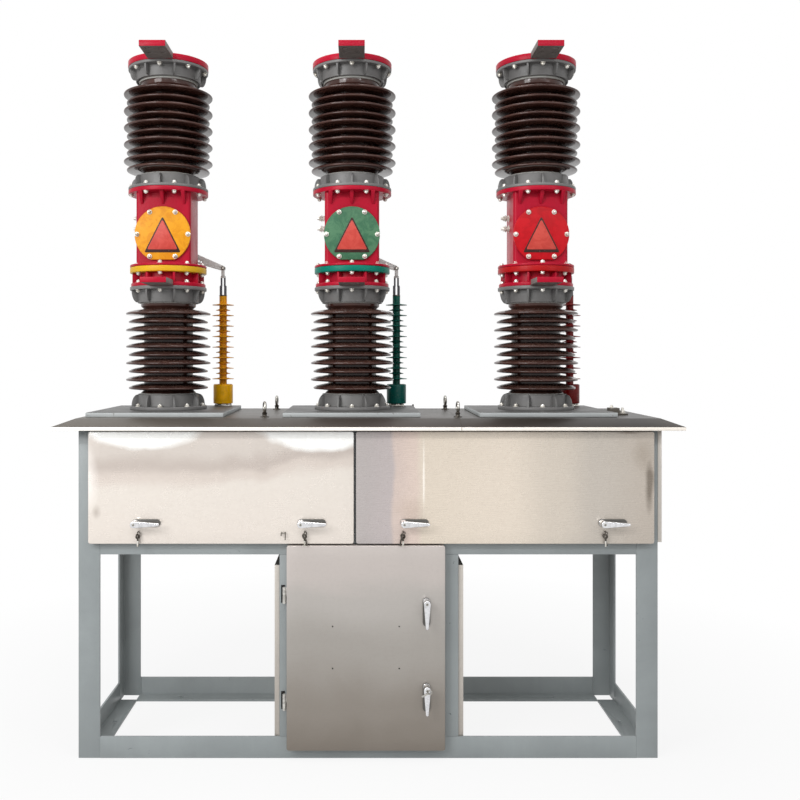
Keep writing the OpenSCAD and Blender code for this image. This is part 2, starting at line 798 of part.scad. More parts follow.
module lower_insulator() {
    translate([0, 0, z_lower])
        porcelain(lower_porcelain_h, lower_pairs, collar_h, collar_h, lower_shed_r, lower_small_r);
}

module upper_insulator() {
    translate([0, 0, z_upper_neck])
        porcelain(upper_porcelain_h, upper_pairs, upper_foot_h, upper_head_h, upper_shed_r, upper_small_r);
}

module rounded_block(x0, x1, y0, y1, h, r) {
    linear_extrude(h) union() {
        translate([x0 + r, y0]) square([x1 - x0 - 2 * r, y1 - y0]);
        translate([x0, y0 + r]) square([x1 - x0, y1 - y0 - 2 * r]);
        for (x = [x0 + r, x1 - r], y = [y0 + r, y1 - r]) translate([x, y]) circle(r = r);
    }
}

module housing() {
    color(red_color) {
        translate([0, 0, z_foot]) {
            difference() {
                cylinder(r = foot_flange_r, h = foot_flange_t);
                terminal_room(foot_flange_r + eps, pad_w + 2 * weld_gap, -eps, foot_flange_t + eps, weld_gap);
            }
            translate([0, 0, foot_flange_t - eps]) cylinder(r = skirt_r, h = skirt_h + eps);
            for (i = [0:flange_bolts - 1]) rotate([0, 0, (i + 0.5) * step])
                translate([skirt_r - eps, -rib_t / 2, foot_flange_t - eps])
                    cube([skirt_rib_r - skirt_r + eps, rib_t, skirt_h + eps]);
        }
        translate([0, 0, z_ring - eps]) cylinder(r = spigot_r, h = ring_t + 2 * eps);
        translate([0, 0, z_mid]) cylinder(r = flange_r, h = mid_flange_t);
        translate([0, 0, z_body - eps])
            rounded_block(-body_w / 2, body_w / 2, -body_front, body_rear, body_h + 2 * eps, body_round);
        translate([0, 0, z_head]) cylinder(r = upper_flange_r, h = head_flange_t);
        for (side = [-1, 0, 1]) translate([side * gusset_x, -body_front, z_head]) gusset();
    }
}

// A tapered rib between the box part and the overhang of the top flange.
module gusset() {
    intersection() {
        rotate([0, 90, 0]) translate([0, 0, -gusset_w / 2]) linear_extrude(gusset_w) polygon([
            [-eps, eps], [-eps, -gusset_reach], [gusset_edge, -gusset_reach], [gusset_h, 0], [gusset_h, eps]
        ]);
        translate([0, 2 * eps, 0]) rotate([90, 0, 0]) linear_extrude(gusset_reach + 4 * eps) polygon([
            [-gusset_w / 2, eps], [-gusset_w / 2, -gusset_edge], [-gusset_foot_w / 2, -gusset_h - eps],
            [gusset_foot_w / 2, -gusset_h - eps], [gusset_w / 2, -gusset_edge], [gusset_w / 2, eps]
        ]);
    }
}

module phase_ring() {
    translate([0, 0, z_ring]) difference() {
        cylinder(r = flange_r, h = ring_t, $fn = 96);
        translate([0, 0, -eps]) cylinder(r = spigot_r + weld_gap, h = ring_t + 2 * eps);
    }
}

module front_cover() {
    translate([0, -body_front, z_body + cover_z]) difference() {
        rotate([90, 0, 0]) cylinder(r = cover_r, h = cover_t, $fn = 96);
        translate([-cover_r, -cover_t - eps, -cover_r - eps])
            cube([2 * cover_r, cover_t + 2 * eps, cover_r - cover_flat + eps]);
    }
}

// Top cap with the terminal pad that reaches forward.
module terminal_cap() {
    color(red_color)
    translate([0, 0, z_cap]) difference() {
        union() {
            cylinder(r = cap_r, h = cap_t, $fn = 96);
            translate([-pad_w / 2, -pad_reach, 0]) cube([pad_w, pad_reach, cap_t]);
        }
        for (x = [-1, 1], row = [0, 1])
            translate([x * pad_pitch / 2, -pad_reach + pad_edge + row * pad_pitch, -eps])
                cylinder(d = pad_hole_d, h = cap_t + 2 * eps);
    }
}

// A block of width w from height z0 to z1 that reaches forward from the housing's round lower
// part, between its two front ribs, and stays clear of them by the gap.
module terminal_room(reach, w, z0, z1, gap) {
    root = skirt_r - 2 + gap;
    h = z1 - z0;
    translate([0, 0, z0]) difference() {
        translate([-w / 2, -reach, 0]) cube([w, reach - root, h]);
        translate([0, 0, -eps]) cylinder(r = skirt_r + gap, h = h + 2 * eps);
        for (m = [0, 1]) mirror([m, 0, 0]) rotate([0, 0, step / 2])
            translate([-rib_t / 2 - gap, -skirt_rib_r - gap, -eps])
                cube([pad_w, skirt_rib_r + gap, h + 2 * eps]);
    }
}

// A terminal pad that lies on the upper flange of the casting below, in a notch of the housing.
module lower_terminal() {
    color(red_color)
    translate([0, 0, z_foot]) difference() {
        terminal_room(low_pad_reach, pad_w, 0, low_pad_t, 2 * weld_gap);
        for (x = [-1, 1], row = [0, 1])
            translate([x * pad_pitch / 2, -low_pad_reach + pad_edge + row * pad_pitch, -eps])
                cylinder(d = pad_hole_d, h = low_pad_t + 2 * eps);
    }
}

// Studs on the back of the housings, each with a collar, that hold the link bars.
module link_studs() {
    collar_step = 6;
    color(zinc_color)
    for (i = [0:2]) at_pole(i) translate([stud_x, body_rear, stud_z]) rotate([-90, 0, 0]) {
        cylinder(r = stud_r, h = side_y - bar_t / 2 - body_rear);
        cylinder(r = stud_r + collar_step, h = 2 * collar_step);
    }
}

// ---------------------------------------------------------------- side insulators

module side_insulator(i) {
    pitch = rod_h / (side_sheds + 0.35);
    large = [for (k = [0:side_sheds - 1]) (k + 0.5) * pitch];
    sheds = [for (k = [0:2 * side_sheds - 2]) each shed(
        k % 2 == 0 ? side_shed_r : side_small_r, large[0] + k * pitch / 2, rod_r, side_rise, side_fall,
        side_tip)];
    edge = side_tip;
    color(side_colors[i])
    translate([side_x, side_y, z_can]) rotate_extrude() polygon(concat(
        [[0, 0], [can_r - edge, 0], [can_r, edge], [can_r, can_h - edge], [can_r - edge, can_h],
         [rod_r, can_h]],
        [for (p = sheds) [p[0], p[1] + can_h]],
        [[rod_r, can_h + rod_h], [0, can_h + rod_h]]));
}

module insulator_bases() {
    color(zinc_color)
    for (i = [0:2]) at_pole(i) translate([side_x, side_y, plate_top]) {
        translate([-side_base_w / 2, -side_base_w / 2, 0]) cube([side_base_w, side_base_w, side_base_t / 2]);
        cylinder(r = side_base_w / 2 - 3, h = side_base_t);
    }
}

// A fork of two sleeved prongs. Its head hangs on the pin of the link bar.
module link_forks() {
    foot_t = 5;
    bridge_h = 6;
    bridge_w = prong_gap + 8;
    head_w = 14;
    head_h = 32;
    neck_d = 8;
    head_z = prong_h - 24;
    cheek_t = neck_d / 2 - weld_gap;
    boss_r = 9;
    color([0.10, 0.10, 0.11])
    for (i = [0:2]) at_pole(i) translate([side_x, side_y, z_tip]) {
        translate([-prong_gap / 2 - prong_r, -prong_r, 0])
            cube([prong_gap + 2 * prong_r, 2 * prong_r, foot_t]);
        for (s = [-1, 1]) {
            translate([s * prong_gap / 2, 0, 0]) cylinder(r = prong_r, h = sleeve_h);
            translate([s * (prong_gap / 2 - 1), 0, 0]) cylinder(r = prong_r - 2, h = head_z);
        }
        translate([-bridge_w / 2, -neck_d / 2, head_z - foot_t + eps]) cube([bridge_w, neck_d, bridge_h]);
        translate([-head_w / 2, -bar_t / 2 - neck_d / 2, head_z]) cube([head_w, cheek_t, head_h]);
        translate([-head_w / 2, -neck_d / 2, head_z]) cube([head_w, neck_d, head_h / 3]);
        translate([0, -bar_t / 2 - neck_d, prong_h + pin_rise]) rotate([-90, 0, 0]) {
            cylinder(r = boss_r, h = neck_d - weld_gap);
            cylinder(r = pin_bolt_r, h = bar_t + 2 * neck_d - 2);
        }
    }
}

// Flat bar from the stud on the housing down to the pin of the fork.
module link_bar() {
    reach = (side_x - stud_x) / cos(bar_slope);
    color(zinc_color)
    translate([side_x, side_y + bar_t / 2, pin_z]) rotate([0, bar_slope, 0])
        rotate([90, 0, 0]) linear_extrude(bar_t) difference() {
            union() {
                circle(d = bar_tip_w);
                polygon([
                    [0, -bar_tip_w / 2], [0, bar_tip_w / 2], [-reach, bar_w / 2], [-reach, -bar_w / 2]
                ]);
                translate([-reach, 0]) circle(d = bar_w);
            }
            circle(r = pin_bolt_r + run_gap);
            for (k = [0, 1])
                translate([-bar_hole_near - k * bar_hole_pitch, -bar_hole_drop]) circle(d = bar_hole_d);
        }
}

// ---------------------------------------------------------------- drawing

corner_legs();
bottom_rails();
shelf_rails();
roof_rails();
cabinet_posts();
box_mullions();
box_floor();
side_panels();
rear_panels();
roof();
mounting_plates();
lifting_eyes();
earth_lug();
cabinet_body();
drive_duct();
fixed_hinges();
flap(left_panel_x0, left_panel_x1);  // left_flap
flap(right_panel_x0, right_panel_x1);  // right_flap
cabinet_door();
panel_lever(left_panel_x0 + panel_lever_left);  // lever_1
panel_lever(left_panel_x1 - panel_lever_right);  // lever_2
panel_lever(right_panel_x0 + panel_lever_left);  // lever_3
panel_lever(right_panel_x1 - panel_lever_right);  // lever_4
door_lever(door_lever_low_z);  // lever_5
door_lever(door_lever_high_z);  // lever_6
link_studs();
insulator_bases();
link_forks();

POLES = ["left", "middle", "right"];
for (i = [0:2]) {
    at_pole(i) castings();
    at_pole(i) lower_insulator();
    at_pole(i) housing();
    color(phase_colors[i]) at_pole(i) phase_ring();
    color(phase_colors[i]) at_pole(i) front_cover();
    at_pole(i) upper_insulator();
    at_pole(i) lower_terminal();
    at_pole(i) terminal_cap();
    at_pole(i) side_insulator(i);
    at_pole(i) link_bar();
}
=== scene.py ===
"""Looks of an outdoor three-pole vacuum circuit breaker on its steel frame.

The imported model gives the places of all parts. Every class below dresses one
sub-assembly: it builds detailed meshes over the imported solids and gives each
one a finish. Lengths are in metres: X runs along the row of poles, Y points to
the rear and Z points up.
"""

import json
import logging
import math
from dataclasses import dataclass
from enum import Enum
from typing import Callable, Iterable, Optional, Sequence

import bmesh
import bpy
from mathutils import Euler, Matrix, Vector, noise

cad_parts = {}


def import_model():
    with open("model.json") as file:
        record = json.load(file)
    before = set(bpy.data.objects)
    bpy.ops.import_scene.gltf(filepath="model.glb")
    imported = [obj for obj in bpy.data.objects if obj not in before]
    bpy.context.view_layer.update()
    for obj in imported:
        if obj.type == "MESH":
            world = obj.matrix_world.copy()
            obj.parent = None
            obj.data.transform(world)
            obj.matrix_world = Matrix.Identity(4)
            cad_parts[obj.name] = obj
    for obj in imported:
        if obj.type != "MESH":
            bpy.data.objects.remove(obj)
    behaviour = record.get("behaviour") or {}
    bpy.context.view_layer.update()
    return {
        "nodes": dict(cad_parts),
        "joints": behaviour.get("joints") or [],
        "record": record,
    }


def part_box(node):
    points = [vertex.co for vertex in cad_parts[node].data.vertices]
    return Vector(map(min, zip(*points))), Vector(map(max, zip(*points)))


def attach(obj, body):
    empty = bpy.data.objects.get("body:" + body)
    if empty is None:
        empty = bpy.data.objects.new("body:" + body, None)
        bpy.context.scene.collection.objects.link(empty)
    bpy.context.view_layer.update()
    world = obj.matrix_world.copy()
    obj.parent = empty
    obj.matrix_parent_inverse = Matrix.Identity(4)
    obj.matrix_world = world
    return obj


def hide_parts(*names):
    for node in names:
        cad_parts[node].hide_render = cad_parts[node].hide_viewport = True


LOG = logging.getLogger("breaker")
Point = tuple[float, float]
Colour = tuple[float, float, float]


class Phase(Enum):
    """The three poles, by the name that their parts start with."""

    LEFT = "left"
    MIDDLE = "middle"
    RIGHT = "right"


class Facing(Enum):
    """Where the head of a fastener points, as a turn from straight up."""

    UP = Euler((0, 0, 0))
    DOWN = Euler((math.pi, 0, 0))
    FRONT = Euler((math.pi / 2, 0, 0))
    LEFT = Euler((0, -math.pi / 2, 0))
    RIGHT = Euler((0, math.pi / 2, 0))
    REAR = Euler((-math.pi / 2, 0, 0))


def srgb(red: int, green: int, blue: int) -> Colour:
    """Turns a colour chart value into scene light.

    Args:
        red: Red from 0 to 255.
        green: Green from 0 to 255.
        blue: Blue from 0 to 255.

    Returns:
        The linear colour.
    """

    def channel(value: int) -> float:
        """Returns one channel as linear light."""
        part = value / 255
        return part / 12.92 if part <= 0.04045 else ((part + 0.055) / 1.055) ** 2.4

    return channel(red), channel(green), channel(blue)


def shade(colour: Colour, factor: float) -> Colour:
    """Returns the colour made lighter or darker by a factor."""
    return colour[0] * factor, colour[1] * factor, colour[2] * factor


# ---------------------------------------------------------------- finishes


class NodeSheet:
    """Node tree of one material, with short calls for the nodes it is made of."""

    def __init__(self, name: str) -> None:
        """Starts a material with a Principled shader on its output."""
        self.material = bpy.data.materials.new(name)
        self.material.use_nodes = True
        self.tree = self.material.node_tree
        self.tree.nodes.clear()
        self.output = self.tree.nodes.new("ShaderNodeOutputMaterial")
        self.shader = self.tree.nodes.new("ShaderNodeBsdfPrincipled")
        self.join(self.shader.outputs[0], self.output.inputs[0])
        self.coordinates = self.tree.nodes.new("ShaderNodeTexCoord")

    def join(self, source: bpy.types.NodeSocket, target: bpy.types.NodeSocket) -> None:
        """Links two sockets."""
        self.tree.links.new(source, target)

    def feed(self, socket: bpy.types.NodeSocket, value: object) -> None:
        """Gives a socket a link or a constant.

        Args:
            socket: The input to fill.
            value: Another node's output, a number, or a colour of three parts.
        """
        if isinstance(value, bpy.types.NodeSocket):
            self.join(value, socket)
        elif isinstance(value, tuple) and len(value) == 3 and socket.type == "RGBA":
            socket.default_value = (*value, 1.0)
        else:
            socket.default_value = value

    def point(
        self, scale: Sequence[float] = (1, 1, 1), centre: Sequence[float] = (0, 0, 0)
    ) -> bpy.types.NodeSocket:
        """Object coordinates, moved to a centre and then stretched.

        Args:
            scale: Stretch of the pattern along each axis.
            centre: The point that becomes the pattern's origin.

        Returns:
            The output that carries the coordinates.
        """
        moved = self.tree.nodes.new("ShaderNodeMapping")
        moved.inputs["Location"].default_value = tuple(-c * s for c, s in zip(centre, scale))
        moved.inputs["Scale"].default_value = tuple(scale)
        self.join(self.coordinates.outputs["Object"], moved.inputs["Vector"])
        return moved.outputs[0]

    def noise(
        self, at: bpy.types.NodeSocket, scale: float, detail: float = 3, rough: float = 0.5, warp: float = 0
    ) -> bpy.types.NodeSocket:
        """A cloud pattern.

        Args:
            at: Coordinates of the pattern.
            scale: Number of clouds per metre, about.
            detail: Number of finer layers.
            rough: Weight of the finer layers.
            warp: How far the clouds are stirred.

        Returns:
            The pattern's grey value.
        """
        made = self.tree.nodes.new("ShaderNodeTexNoise")
        self.join(at, made.inputs["Vector"])
        made.inputs["Scale"].default_value = scale
        made.inputs["Detail"].default_value = detail
        made.inputs["Roughness"].default_value = rough
        made.inputs["Distortion"].default_value = warp
        return made.outputs["Fac"]

    def axis(self, at: bpy.types.NodeSocket, letter: str) -> bpy.types.NodeSocket:
        """Returns one coordinate out of three."""
        made = self.tree.nodes.new("ShaderNodeSeparateXYZ")
        self.join(at, made.inputs[0])
        return made.outputs[letter]

    def length(self, at: bpy.types.NodeSocket) -> bpy.types.NodeSocket:
        """Returns the distance of the coordinates from their origin."""
        made = self.tree.nodes.new("ShaderNodeVectorMath")
        made.operation = "LENGTH"
        self.join(at, made.inputs[0])
        return made.outputs["Value"]

    def sum(self, first: object, second: object, job: str = "ADD") -> bpy.types.NodeSocket:
        """Joins two numbers with a sum or another sort of arithmetic."""
        made = self.tree.nodes.new("ShaderNodeMath")
        made.operation = job
        self.feed(made.inputs[0], first)
        self.feed(made.inputs[1], second)
        return made.outputs[0]

    def span(
        self, value: bpy.types.NodeSocket, start: float, end: float, low: float = 0, high: float = 1
    ) -> bpy.types.NodeSocket:
        """Stretches a range of a value to another range, and holds it there.

        Args:
            value: The number to stretch.
            start: Where the range starts.
            end: Where the range ends.
            low: Result at the start.
            high: Result at the end.

        Returns:
            The stretched number.
        """
        made = self.tree.nodes.new("ShaderNodeMapRange")
        self.join(value, made.inputs["Value"])
        made.inputs["From Min"].default_value = start
        made.inputs["From Max"].default_value = end
        made.inputs["To Min"].default_value = low
        made.inputs["To Max"].default_value = high
        return made.outputs["Result"]

    def ramp(
        self, value: bpy.types.NodeSocket, stops: Sequence[tuple[float, Colour]]
    ) -> bpy.types.NodeSocket:
        """Turns a number into a colour along a row of stops.

        Args:
            value: The number, from 0 to 1.
            stops: Positions with their colours, in order.

        Returns:
            The colour.
        """
        made = self.tree.nodes.new("ShaderNodeValToRGB")
        made.color_ramp.interpolation = "EASE"
        elements = made.color_ramp.elements
        while len(elements) < len(stops):
            elements.new(0.5)
        for element, (place, colour) in zip(elements, stops):
            element.position = place
            element.color = (*colour, 1.0)
        self.join(value, made.inputs[0])
        return made.outputs[0]

    def mix(self, share: object, first: object, second: object) -> bpy.types.NodeSocket:
        """Mixes two colours.

        Args:
            share: Weight of the second colour.
            first: A colour or an output.
            second: A colour or an output.

        Returns:
            The mixed colour.
        """
        made = self.tree.nodes.new("ShaderNodeMix")
        made.data_type = "RGBA"
        self.feed(made.inputs[0], share)
        self.feed(made.inputs[6], first)
        self.feed(made.inputs[7], second)
        return made.outputs[2]

    def relief(
        self, height: bpy.types.NodeSocket, depth: float, base: Optional[bpy.types.NodeSocket] = None
    ) -> bpy.types.NodeSocket:
        """Gives the surface a small relief.

        Args:
            height: Pattern of the relief.
            depth: Depth of the relief in metres.
            base: Another relief that this one lies on.

        Returns:
            The bent normal.
        """
        made = self.tree.nodes.new("ShaderNodeBump")
        made.inputs["Distance"].default_value = depth
        made.inputs["Strength"].default_value = 1.0
        self.join(height, made.inputs["Height"])
        if base is not None:
            self.join(base, made.inputs["Normal"])
        return made.outputs[0]

    def done(self, **sockets: object) -> bpy.types.Material:
        """Fills the shader's sockets by name and returns the material."""
        for name, value in sockets.items():
            self.feed(self.shader.inputs[name.replace("_", " ").title().replace("Ior", "IOR")], value)
        return self.material


class Finish:
    """A finish makes its material once and hands it to each piece that asks."""

    def sheet(self) -> NodeSheet:
        """Starts the node tree under the finish's own name."""
        return NodeSheet(self.name)

    def material(self) -> bpy.types.Material:
        """Returns the material, made on first use."""
        return bpy.data.materials.get(self.name) or self.make()


@dataclass(frozen=True)
class Paint(Finish):
    """Sprayed enamel on steel or castings, with cloudy tone, dust and small chips."""

    name: str
    colour: Colour
    gloss: float = 0.4
    grain: float = 0.00025
    grain_scale: float = 260.0
    clouds: float = 0.10
    chips: float = 0.0
    chip_colour: Colour = (0.2, 0.2, 0.2)
    dust: float = 0.12
    shine: float = 0.5

    def make(self) -> bpy.types.Material:
        """Builds the paint's nodes."""
        s = self.sheet()
        at = s.point()
        cloud = s.noise(at, 3.0, 5, 0.6, 0.4)
        tone = s.ramp(
            cloud, [(0.25, shade(self.colour, 1 - self.clouds)), (0.75, shade(self.colour, 1 + self.clouds))]
        )
        streak = s.noise(s.point((14, 14, 1.2)), 2.0, 4, 0.6)
        tone = s.mix(s.span(streak, 0.52, 0.75, 0, self.dust), tone, shade(self.colour, 1.35))
        if self.chips:
            spot = s.noise(at, 42.0, 6, 0.7, 0.6)
            tone = s.mix(s.span(spot, 0.70 - self.chips, 0.73 - self.chips), tone, self.chip_colour)
        rough = s.span(s.noise(at, 9.0, 4, 0.6), 0.3, 0.7, self.gloss - 0.07, self.gloss + 0.09)
        fine = s.noise(at, self.grain_scale, 2, 0.5)
        return s.done(
            base_color=tone, roughness=rough, normal=s.relief(fine, self.grain),
            specular_ior_level=self.shine,
        )


@dataclass(frozen=True)
class PaintedLightPatch:
    """A soft-edged patch of painted light on a sheet, a painted highlight, reflection or shade, with its
    middle and reach along X and Z.
    """

    middle: Point
    reach: Point
    colour: Colour
    share: float = 1.0
    core: float = 0.75
    stir: float = 0.12


@dataclass(frozen=True)
class SheetSteel(Finish):
    """Cold-rolled stainless sheet with a faint grain, uneven tone and smudges.

    The tones run along one axis of the sheet between two places. On the panels, the door and the roof these
    tones are painted reflections and painted light, and the patches add painted highlights, reflections and
    shade.
    """

    name: str
    tones: tuple[tuple[float, Colour], ...]
    along: str
    start: float
    end: float
    gloss: float = 0.3
    metal: float = 0.35
    wander: float = 0.06
    grain: tuple[float, float, float] = (3, 3, 160)
    mottle: float = 0.10
    smudge: float = 0.10
    smudge_colour: Colour = (0.10, 0.08, 0.06)
    patches: tuple[PaintedLightPatch, ...] = ()

    def make(self) -> bpy.types.Material:
        """Builds the sheet's nodes."""
        s = self.sheet()
        at = s.point()
        place = s.span(s.axis(at, self.along), self.start, self.end)
        slow = s.noise(at, 2.6, 3, 0.5, 0.8)
        stir = s.span(slow, 0.3, 0.7, -self.wander, self.wander)
        tone = s.ramp(s.sum(place, stir), self.tones)
        # Each patch paints light onto the sheet: a painted highlight, a painted reflection or painted shade.
        for patch in self.patches:
            far = s.length(
                s.point((1 / patch.reach[0], 0, 1 / patch.reach[1]), (patch.middle[0], 0, patch.middle[1]))
            )
            bend = s.span(s.noise(at, 6.0, 3, 0.5, 0.4), 0.3, 0.7, -patch.stir, patch.stir)
            tone = s.mix(s.span(s.sum(far, bend), patch.core, 1.0, patch.share, 0), tone, patch.colour)
        line = s.noise(s.point(self.grain), 6.0, 5, 0.65)
        tone = s.mix(s.span(line, 0.35, 0.75, 0, 0.08), tone, (0.05, 0.05, 0.05))
        fine = s.noise(at, 75.0, 5, 0.7)
        tone = s.mix(s.span(fine, 0.48, 0.74, 0, self.mottle), tone, self.smudge_colour)
        mark = s.noise(at, 9.0, 7, 0.75)
        tone = s.mix(s.span(mark, 0.58, 0.80, 0, self.smudge), tone, self.smudge_colour)
        rough = s.sum(
            s.span(line, 0.3, 0.7, self.gloss - 0.03, self.gloss + 0.04), s.span(mark, 0.5, 0.8, 0, 0.10)
        )
        bent = s.relief(s.noise(at, 5.0, 2, 0.4, 0.3), 0.0007, s.relief(line, 0.00003))
        return s.done(base_color=tone, metallic=self.metal, roughness=rough, normal=bent)


@dataclass(frozen=True)
class Glaze(Finish):
    """Brown glazed porcelain: near black, glassy, with dust on top of the sheds."""

    name: str
    colour: Colour
    pool: Colour
    dust: Colour

    def make(self) -> bpy.types.Material:
        """Builds the glaze's nodes."""
        s = self.sheet()
        at = s.point()
        tone = s.ramp(s.noise(at, 14.0, 5, 0.6, 0.5), [(0.3, self.colour), (0.75, self.pool)])
        up = s.axis(s.tree.nodes.new("ShaderNodeNewGeometry").outputs["Normal"], "Z")
        fleck = s.noise(at, 60.0, 6, 0.7)
        film = s.sum(s.span(up, 0.35, 0.95, 0, 0.22), s.span(fleck, 0.4, 0.7), "MULTIPLY")
        tone = s.mix(film, tone, self.dust)
        rough = s.sum(s.span(fleck, 0.45, 0.75, 0.09, 0.20), film)
        wave = s.noise(at, 34.0, 2, 0.4)
        return s.done(
            base_color=tone, roughness=rough, normal=s.relief(wave, 0.0003), specular_ior_level=0.3,
            coat_weight=0.08, coat_roughness=0.06,
        )


@dataclass(frozen=True)
class PlatedSteel(Finish):
    """Bright plated metal, from dull zinc to mirror chrome."""

    name: str
    colour: Colour
    dull: Colour
    gloss: float
    grain: float = 0.00005
    metal: float = 1.0

    def make(self) -> bpy.types.Material:
        """Builds the plating's nodes."""
        s = self.sheet()
        at = s.point()
        cloud = s.noise(at, 70.0, 5, 0.65, 0.4)
        tone = s.ramp(cloud, [(0.35, self.dull), (0.6, self.colour)])
        rough = s.span(cloud, 0.3, 0.7, self.gloss + 0.12, self.gloss)
        return s.done(
            base_color=tone, metallic=self.metal, roughness=rough,
            normal=s.relief(s.noise(at, 900.0, 2), self.grain)
        )


@dataclass(frozen=True)
class Mottled(Finish):
    """Hand-painted cover plate: two near colours in patches, with rubbed spots."""

    name: str
    colour: Colour
    patch: Colour
    gloss: float = 0.35
    shine: float = 0.15

    def make(self) -> bpy.types.Material:
        """Builds the cover paint's nodes."""
        s = self.sheet()
        at = s.point()
        tone = s.ramp(s.noise(at, 26.0, 6, 0.68, 0.9), [(0.40, self.colour), (0.62, self.patch)])
        rub = s.noise(at, 90.0, 5, 0.7)
        tone = s.mix(s.span(rub, 0.62, 0.72, 0, 0.35), tone, shade(self.colour, 0.6))
        rough = s.span(rub, 0.3, 0.7, self.gloss - 0.05, self.gloss + 0.12)
        bumps = s.relief(s.noise(at, 220.0, 3), 0.0003)
        return s.done(base_color=tone, roughness=rough, normal=bumps, specular_ior_level=self.shine)


@dataclass(frozen=True)
class Rubber(Finish):
    """Moulded silicone rubber with a soft sheen and a little dust."""

    name: str
    colour: Colour
    gloss: float = 0.38

    def make(self) -> bpy.types.Material:
        """Builds the rubber's nodes."""
        s = self.sheet()
        at = s.point()
        tone = s.ramp(
            s.noise(at, 30.0, 5, 0.6), [(0.3, shade(self.colour, 0.82)), (0.7, shade(self.colour, 1.12))]
        )
        tone = s.mix(s.span(s.noise(at, 150.0, 5, 0.7), 0.58, 0.75, 0, 0.3), tone, (0.45, 0.42, 0.36))
        rough = s.span(s.noise(at, 80.0, 3), 0.3, 0.7, self.gloss - 0.06, self.gloss + 0.1)
        bumps = s.relief(s.noise(at, 500.0, 2), 0.0001)
        return s.done(base_color=tone, roughness=rough, normal=bumps, specular_ior_level=0.2)


FRAME_PAINT = Paint("frame_enamel", srgb(140, 146, 147), gloss=0.42, chips=0.02, chip_colour=srgb(92, 96, 98))
PLATE_PAINT = Paint(
    "mounting_plate_edge", srgb(164, 168, 168), gloss=0.5, clouds=0.12, chips=0.05,
    chip_colour=srgb(112, 112, 110)
)
# Painted reflection: the upper faces of the mounting plates take this darker copy of the plate paint.
PLATE_TOP_REFLECTION = Paint(
    "mounting_plate_face_reflection", srgb(78, 77, 76), gloss=0.46, clouds=0.22, chips=0.06,
    chip_colour=srgb(78, 74, 70), dust=0.2,
)
CAST_PAINT = Paint(
    "casting_paint", srgb(102, 101, 100), gloss=0.46, grain=0.0006, grain_scale=120.0, clouds=0.16,
    chips=0.03, chip_colour=srgb(146, 146, 146),
)
BARE_CAST = Paint(
    "bare_aluminium_face", srgb(108, 101, 97), gloss=0.5, grain=0.0006, grain_scale=160.0, clouds=0.22,
    chips=0.07, chip_colour=srgb(70, 60, 55),
)
SEAL_GREY = Paint("sealing_cement", srgb(176, 176, 171), gloss=0.7, grain=0.0006, clouds=0.10)
LUG_PAINT = Paint("earth_lug_paint", srgb(66, 60, 52), gloss=0.5, grain=0.0005, clouds=0.2)
LEVER_BASE = Paint(
    "lever_base_paint", srgb(78, 76, 72), gloss=0.34, clouds=0.15, chips=0.05, chip_colour=srgb(128, 126, 122)
)
HOUSING_RED = Paint(
    "housing_red_enamel", srgb(166, 20, 44), gloss=0.3, grain=0.0005, grain_scale=140.0, clouds=0.12,
    dust=0.03, shine=0.10,
)
COVERS = {
    Phase.LEFT: Mottled("cover_yellow", srgb(218, 150, 28), srgb(206, 132, 20)),
    Phase.MIDDLE: Mottled("cover_green", srgb(78, 120, 90), srgb(58, 102, 76)),
    Phase.RIGHT: Mottled("cover_red", srgb(186, 16, 28), srgb(172, 12, 24)),
}
RINGS = {
    Phase.LEFT: Paint("ring_yellow", srgb(208, 164, 36), gloss=0.34, grain=0.0004, shine=0.12),
    Phase.MIDDLE: Paint("ring_green", srgb(8, 116, 98), gloss=0.34, grain=0.0004, shine=0.12),
    Phase.RIGHT: Paint("ring_red", srgb(166, 24, 26), gloss=0.34, grain=0.0004, shine=0.12),
}
SIDE_RUBBER = {
    Phase.LEFT: Rubber("rubber_amber", srgb(224, 156, 16)),
    Phase.MIDDLE: Rubber("rubber_teal", srgb(10, 88, 76)),
    Phase.RIGHT: Rubber("rubber_dark_red", srgb(122, 26, 26)),
}
CAN_RUBBER = {
    Phase.LEFT: Rubber("can_amber", srgb(240, 176, 8), 0.3),
    Phase.MIDDLE: Rubber("can_teal", srgb(6, 86, 78), 0.3),
    Phase.RIGHT: Rubber("can_dark_red", srgb(108, 10, 10), 0.3),
}
GLAZE = Glaze("brown_glaze", srgb(56, 33, 28), srgb(74, 47, 40), srgb(132, 114, 104))
ZINC = PlatedSteel("zinc_plate", srgb(186, 184, 178), srgb(142, 138, 130), 0.28)
NUT_ZINC = PlatedSteel("fastener_zinc", srgb(226, 223, 216), srgb(176, 171, 160), 0.26, metal=0.45)
CHROME = PlatedSteel("chrome_plate", srgb(226, 226, 228), srgb(206, 206, 208), 0.06, 0.00001)
DARK_STEEL = PlatedSteel("dark_fastener", srgb(96, 92, 86), srgb(60, 54, 48), 0.4)
SLEEVE = Rubber("sleeve_black", srgb(12, 12, 13), 0.55)
HINGE_ZINC = PlatedSteel("hinge_zinc", srgb(198, 196, 191), srgb(158, 155, 149), 0.36, metal=0.35)
GASKET = Rubber("door_gasket", srgb(28, 28, 28), 0.6)
SIGN_FACE = Mottled("blank_plate_red", srgb(192, 76, 66), srgb(182, 64, 56), 0.3)
SIGN_EDGE = Rubber("blank_plate_rim", srgb(52, 26, 22), 0.4)
